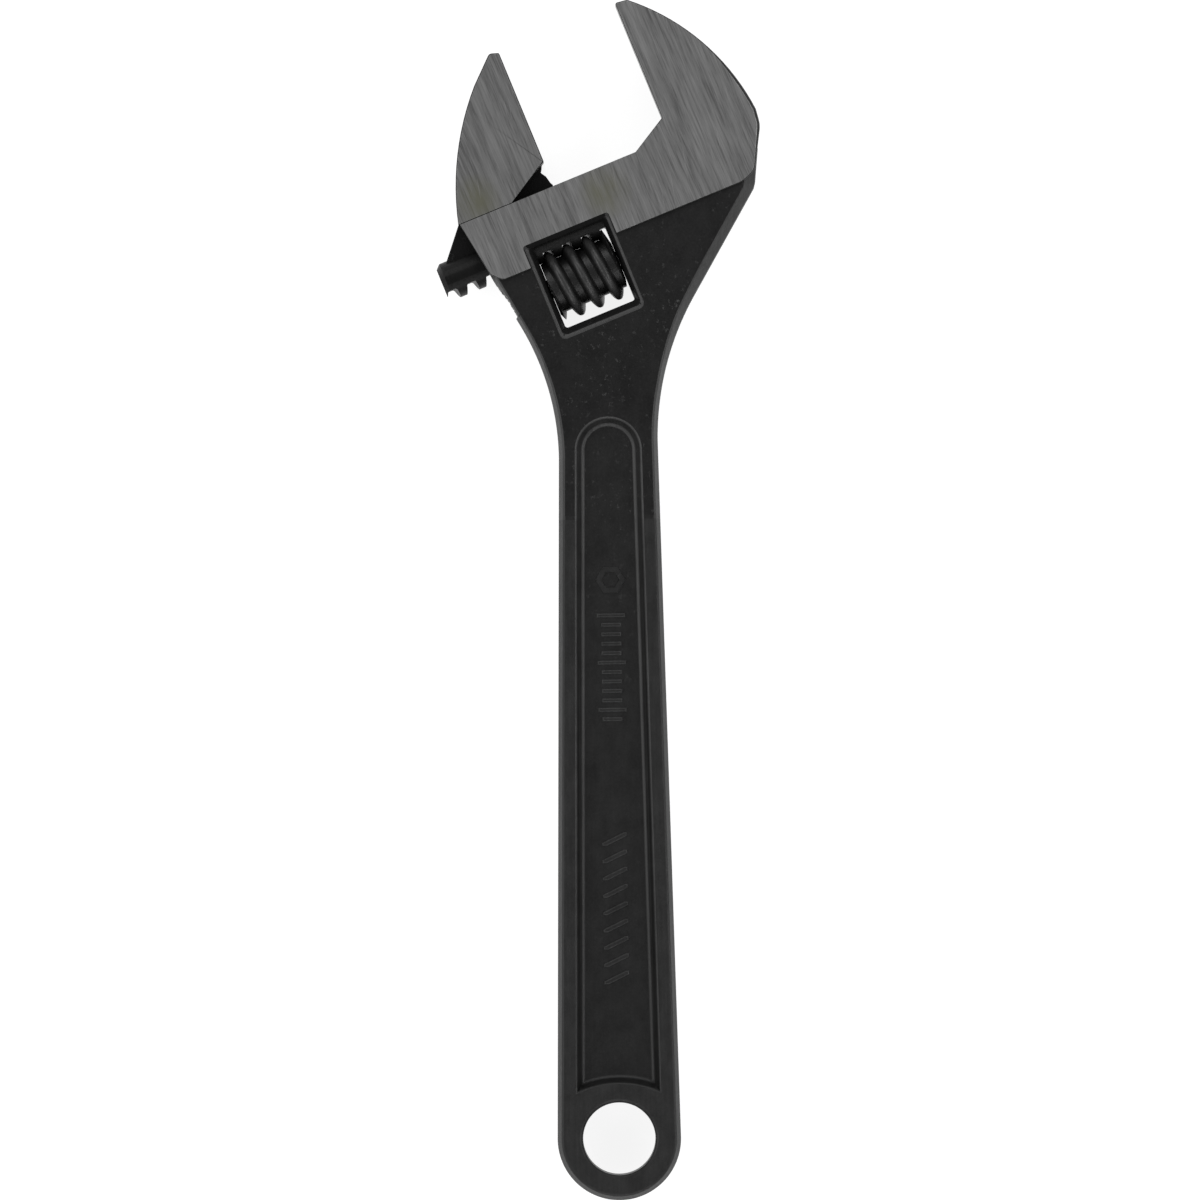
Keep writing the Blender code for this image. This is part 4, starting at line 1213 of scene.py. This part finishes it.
def ground_steel(name, level, stained_at):
    """Surface-ground steel: long fine scratches across the travel, in bands, with faint stains."""
    made, tree = new_material(name, 1.0)
    fine = grain(tree, (3300, 140, 900), -TURN, detail=4, roughness=0.7)
    streak = grain(tree, (1150, 45, 300), -TURN - 0.03, detail=3)
    band = grain(tree, (300, 18, 60), -TURN + 0.05, detail=2)
    both = calc(tree, "MULTIPLY_ADD", fine, 0.46, calc(tree, "MULTIPLY", streak, 0.36))
    lay = calc(tree, "MULTIPLY_ADD", band, 0.18, both)
    tone = shade(tree, spread(tree, lay, 0, 1, 0.39, 0.61), grey(level * 0.55), grey(level * 1.5))
    ragged = grain(tree, (260, 90, 200), -TURN, detail=3)
    centre = TO_ROW @ HEAD @ Vector((*stained_at, HEAD_HALF_THICKNESS))
    apart = {0: place_in(tree), 1: centre}
    away = put(tree, "ShaderNodeVectorMath", apart, operation="DISTANCE").outputs["Value"]
    near = spread(tree, away, 1.0, 0.0, 0.0015, 0.0075)
    stain = calc(tree, "MULTIPLY", near, spread(tree, ragged, 0.35, 0.75, 0.35, 0.6))
    olive = (level * 0.8, level * 0.8, level * 0.56, 1)
    tone = shade(tree, stain, tone, olive)
    scratch = grain(tree, (3800, 60, 900), -TURN + 0.22, detail=1)
    tone = shade(tree, spread(tree, scratch, 0, 0.5, 0.72, 0.8), tone, grey(level * 2.2))
    return coat(made, tone, spread(tree, lay, 0.48, 0.34, 0.36, 0.64), lay, 0.00006)


def black_forging(name, dark, light, worn_and_highlight_grey, roughness, specular=0.3, flecks=1.0):
    """Blackened forged steel: mottled, flecked round the neck, and greyer by each face's wear and painted
    highlight.
    """
    made, tree = new_material(name, 0.0, specular=specular)
    mottle = grain(tree, (260, 180, 260), detail=4, roughness=0.6)
    skin_grain = grain(tree, (1700, 1700, 1700), detail=3)
    both = calc(tree, "MULTIPLY_ADD", mottle, 0.55, calc(tree, "MULTIPLY", skin_grain, 0.45))
    tone = shade(tree, spread(tree, both, 0, 1, 0.38, 0.62), grey(dark), grey(light))
    # Each face's wear and painted highlight turns the black grey
    wear_and_highlight = put(tree, "ShaderNodeAttribute", attribute_name="wear_and_highlight").outputs["Fac"]
    lines = grain(tree, (1500, 60, 700), detail=3)
    patchy = calc(tree, "MULTIPLY", spread(tree, mottle, 0.7, 1.0), spread(tree, lines, 0.6, 1.0))
    tone = shade(tree, calc(tree, "MULTIPLY", wear_and_highlight, patchy), tone, grey(worn_and_highlight_grey))
    height_up = put(tree, "ShaderNodeSeparateXYZ", {0: place_in(tree)}).outputs[1]
    at_neck = spread(tree, height_up, 0.12, 1.0, -0.03, 0.03)
    chips = grain(tree, (640, 520, 640), detail=6, roughness=0.74)
    chipped = spread(tree, chips, 0, 1, 0.59, 0.7)
    where = spread(tree, grain(tree, (70, 55, 70), detail=2), 0.15, 1.0, 0.42, 0.62)  # in patches
    fleck = calc(tree, "MULTIPLY", calc(tree, "MULTIPLY", chipped, where), at_neck)
    tone = shade(tree, calc(tree, "MULTIPLY", fleck, flecks * 0.85), tone, grey(0.05))
    height = calc(tree, "MULTIPLY_ADD", fleck, 0.6, both)
    return coat(made, tone, spread(tree, both, roughness - 0.06, roughness + 0.1), height, 0.00028)


def milled_black(name):
    """Blackened cutter marks across the working faces."""
    made, tree = new_material(name, 0.0, specular=0.5)
    lines = grain(tree, (2600, 300, 90), -TURN, detail=3)
    tone = shade(tree, spread(tree, lines, 0, 1), grey(0.006), grey(0.022))
    return coat(made, tone, spread(tree, lines, 0.3, 0.42), lines, 0.00005)


def plain_steel(name, level, roughness):
    """Bright drawn or turned steel with an oily bloom."""
    made, tree = new_material(name, 1.0)
    bloom = grain(tree, (420, 420, 420), detail=3)
    lines = grain(tree, (300, 300, 2600), detail=2)
    tone = shade(tree, spread(tree, bloom, 0, 1), grey(level * 0.6), grey(level))
    return coat(made, tone, spread(tree, lines, roughness - 0.05, roughness + 0.1), lines, 0.00003, 0.4)


steel = ground_steel("ground_steel", 0.25, (-20.5, -6.5))
jaw_steel = ground_steel("jaw_ground_steel", 0.235, (-52.0, 4.0))
forging = black_forging("black_forging", 0.0018, 0.0055, 0.044, 0.42)
# A darker black, laid on as painted shade in the window and on the jaw's deep-lying bar and web
shade_black = black_forging("painted_shade_black", 0.0012, 0.003, 0.008, 0.4, specular=0.17, flecks=0.2)
worm_black = black_forging("black_worm", 0.002, 0.008, 0.035, 0.36, specular=0.42, flecks=0.0)
milled = milled_black("milled_black")
pin_steel = plain_steel("pin_steel", 0.3, 0.36)
spring_steel = plain_steel("spring_steel", 0.45, 0.28)

finish(wrench_forging(), "wrench_body", "wrench_body", [forging, steel, milled, shade_black])
jaw = sliding_jaw(forging)
finish(jaw, "movable_jaw", "movable_jaw", [forging, jaw_steel, milled, shade_black])
finish(worm_screw(worm_black), "adjusting_worm", "adjusting_worm", [worm_black])
finish(end_play_spring(spring_steel), "wrench_body", "worm_spring", [spring_steel])
finish(worm_axle(), "wrench_body", "worm_pin", [pin_steel])
for side in (1, -1):
    marks = panel_marks(side, forging)
    finish(marks, "wrench_body", None, [forging], sharp_angle=MARK_SHARP_ANGLE)


# Studio

FLOOR_GLOW = 0.85  # the pale floor is lit from below, as a light table is
FLOOR_GREY = 0.35
DAYLIGHT = 0.38
SOFTBOX_ELEVATION = 38  # degrees
SOFTBOX_DISTANCE = 1.4
SOFTBOX_SIZE = (1.1, 0.7)
SOFTBOXES = (("left", 180, 6.5), ("right", 0, 6.0), ("far", 90, 5.5), ("near", 270, 5.0))


def pale_floor():
    form = bmesh.new()
    bmesh.ops.create_grid(form, x_segments=1, y_segments=1, size=4)
    made = empty_mesh("floor")
    form.to_mesh(made.data)
    form.free()
    paper = bpy.data.materials.new("pale_paper")
    paper.use_nodes = True
    shader = paper.node_tree.nodes["Principled BSDF"].inputs
    shader["Base Color"].default_value = grey(FLOOR_GREY)
    shader["Roughness"].default_value = 0.9
    shader["Specular IOR Level"].default_value = 0.1
    shader["Emission Color"].default_value = grey(1)
    shader["Emission Strength"].default_value = FLOOR_GLOW
    made.data.materials.append(paper)


def softbox(name, azimuth, power):
    light = bpy.data.lights.new(name, "AREA")
    light.shape = "RECTANGLE"
    light.size, light.size_y = SOFTBOX_SIZE
    light.energy = power
    made = placed(name, light)
    round_z, up = radians(azimuth), radians(SOFTBOX_ELEVATION)
    way = Vector((cos(round_z) * cos(up), sin(round_z) * cos(up), sin(up)))
    made.location = way * SOFTBOX_DISTANCE
    made.rotation_euler = way.to_track_quat("Z", "Y").to_euler()


def studio():
    world = bpy.data.worlds.new("soft_daylight")
    world.use_nodes = True
    background = world.node_tree.nodes["Background"].inputs
    background["Color"].default_value = grey(1)
    background["Strength"].default_value = DAYLIGHT
    bpy.context.scene.world = world
    for name, azimuth, power in SOFTBOXES:
        softbox(name + "_softbox", azimuth, power)
    bpy.context.scene.view_settings.view_transform = "Standard"
    bpy.context.scene.view_settings.look = "None"


FRAME_WIDTH = 0.30526  # metres across the view, at the wrench's middle height
AIM = (-0.0012, 0.0001)  # metres from the wrench's middle
CAMERA_TURN = -0.92  # degrees
LENS = 500
SENSOR = 36


def camera():
    view = bpy.data.cameras.new("overhead")
    view.lens = LENS
    view.sensor_width = SENSOR
    made = placed("overhead", view)
    middle = (cad_box[0] + cad_box[1]) / 2
    height = FRAME_WIDTH * LENS / SENSOR + middle.z
    made.location = (middle.x + AIM[0], middle.y + AIM[1], height)
    made.rotation_euler = (0, 0, radians(CAMERA_TURN))
    view.clip_start, view.clip_end = 0.1, 20
    bpy.context.scene.camera = made


pale_floor()
studio()
camera()
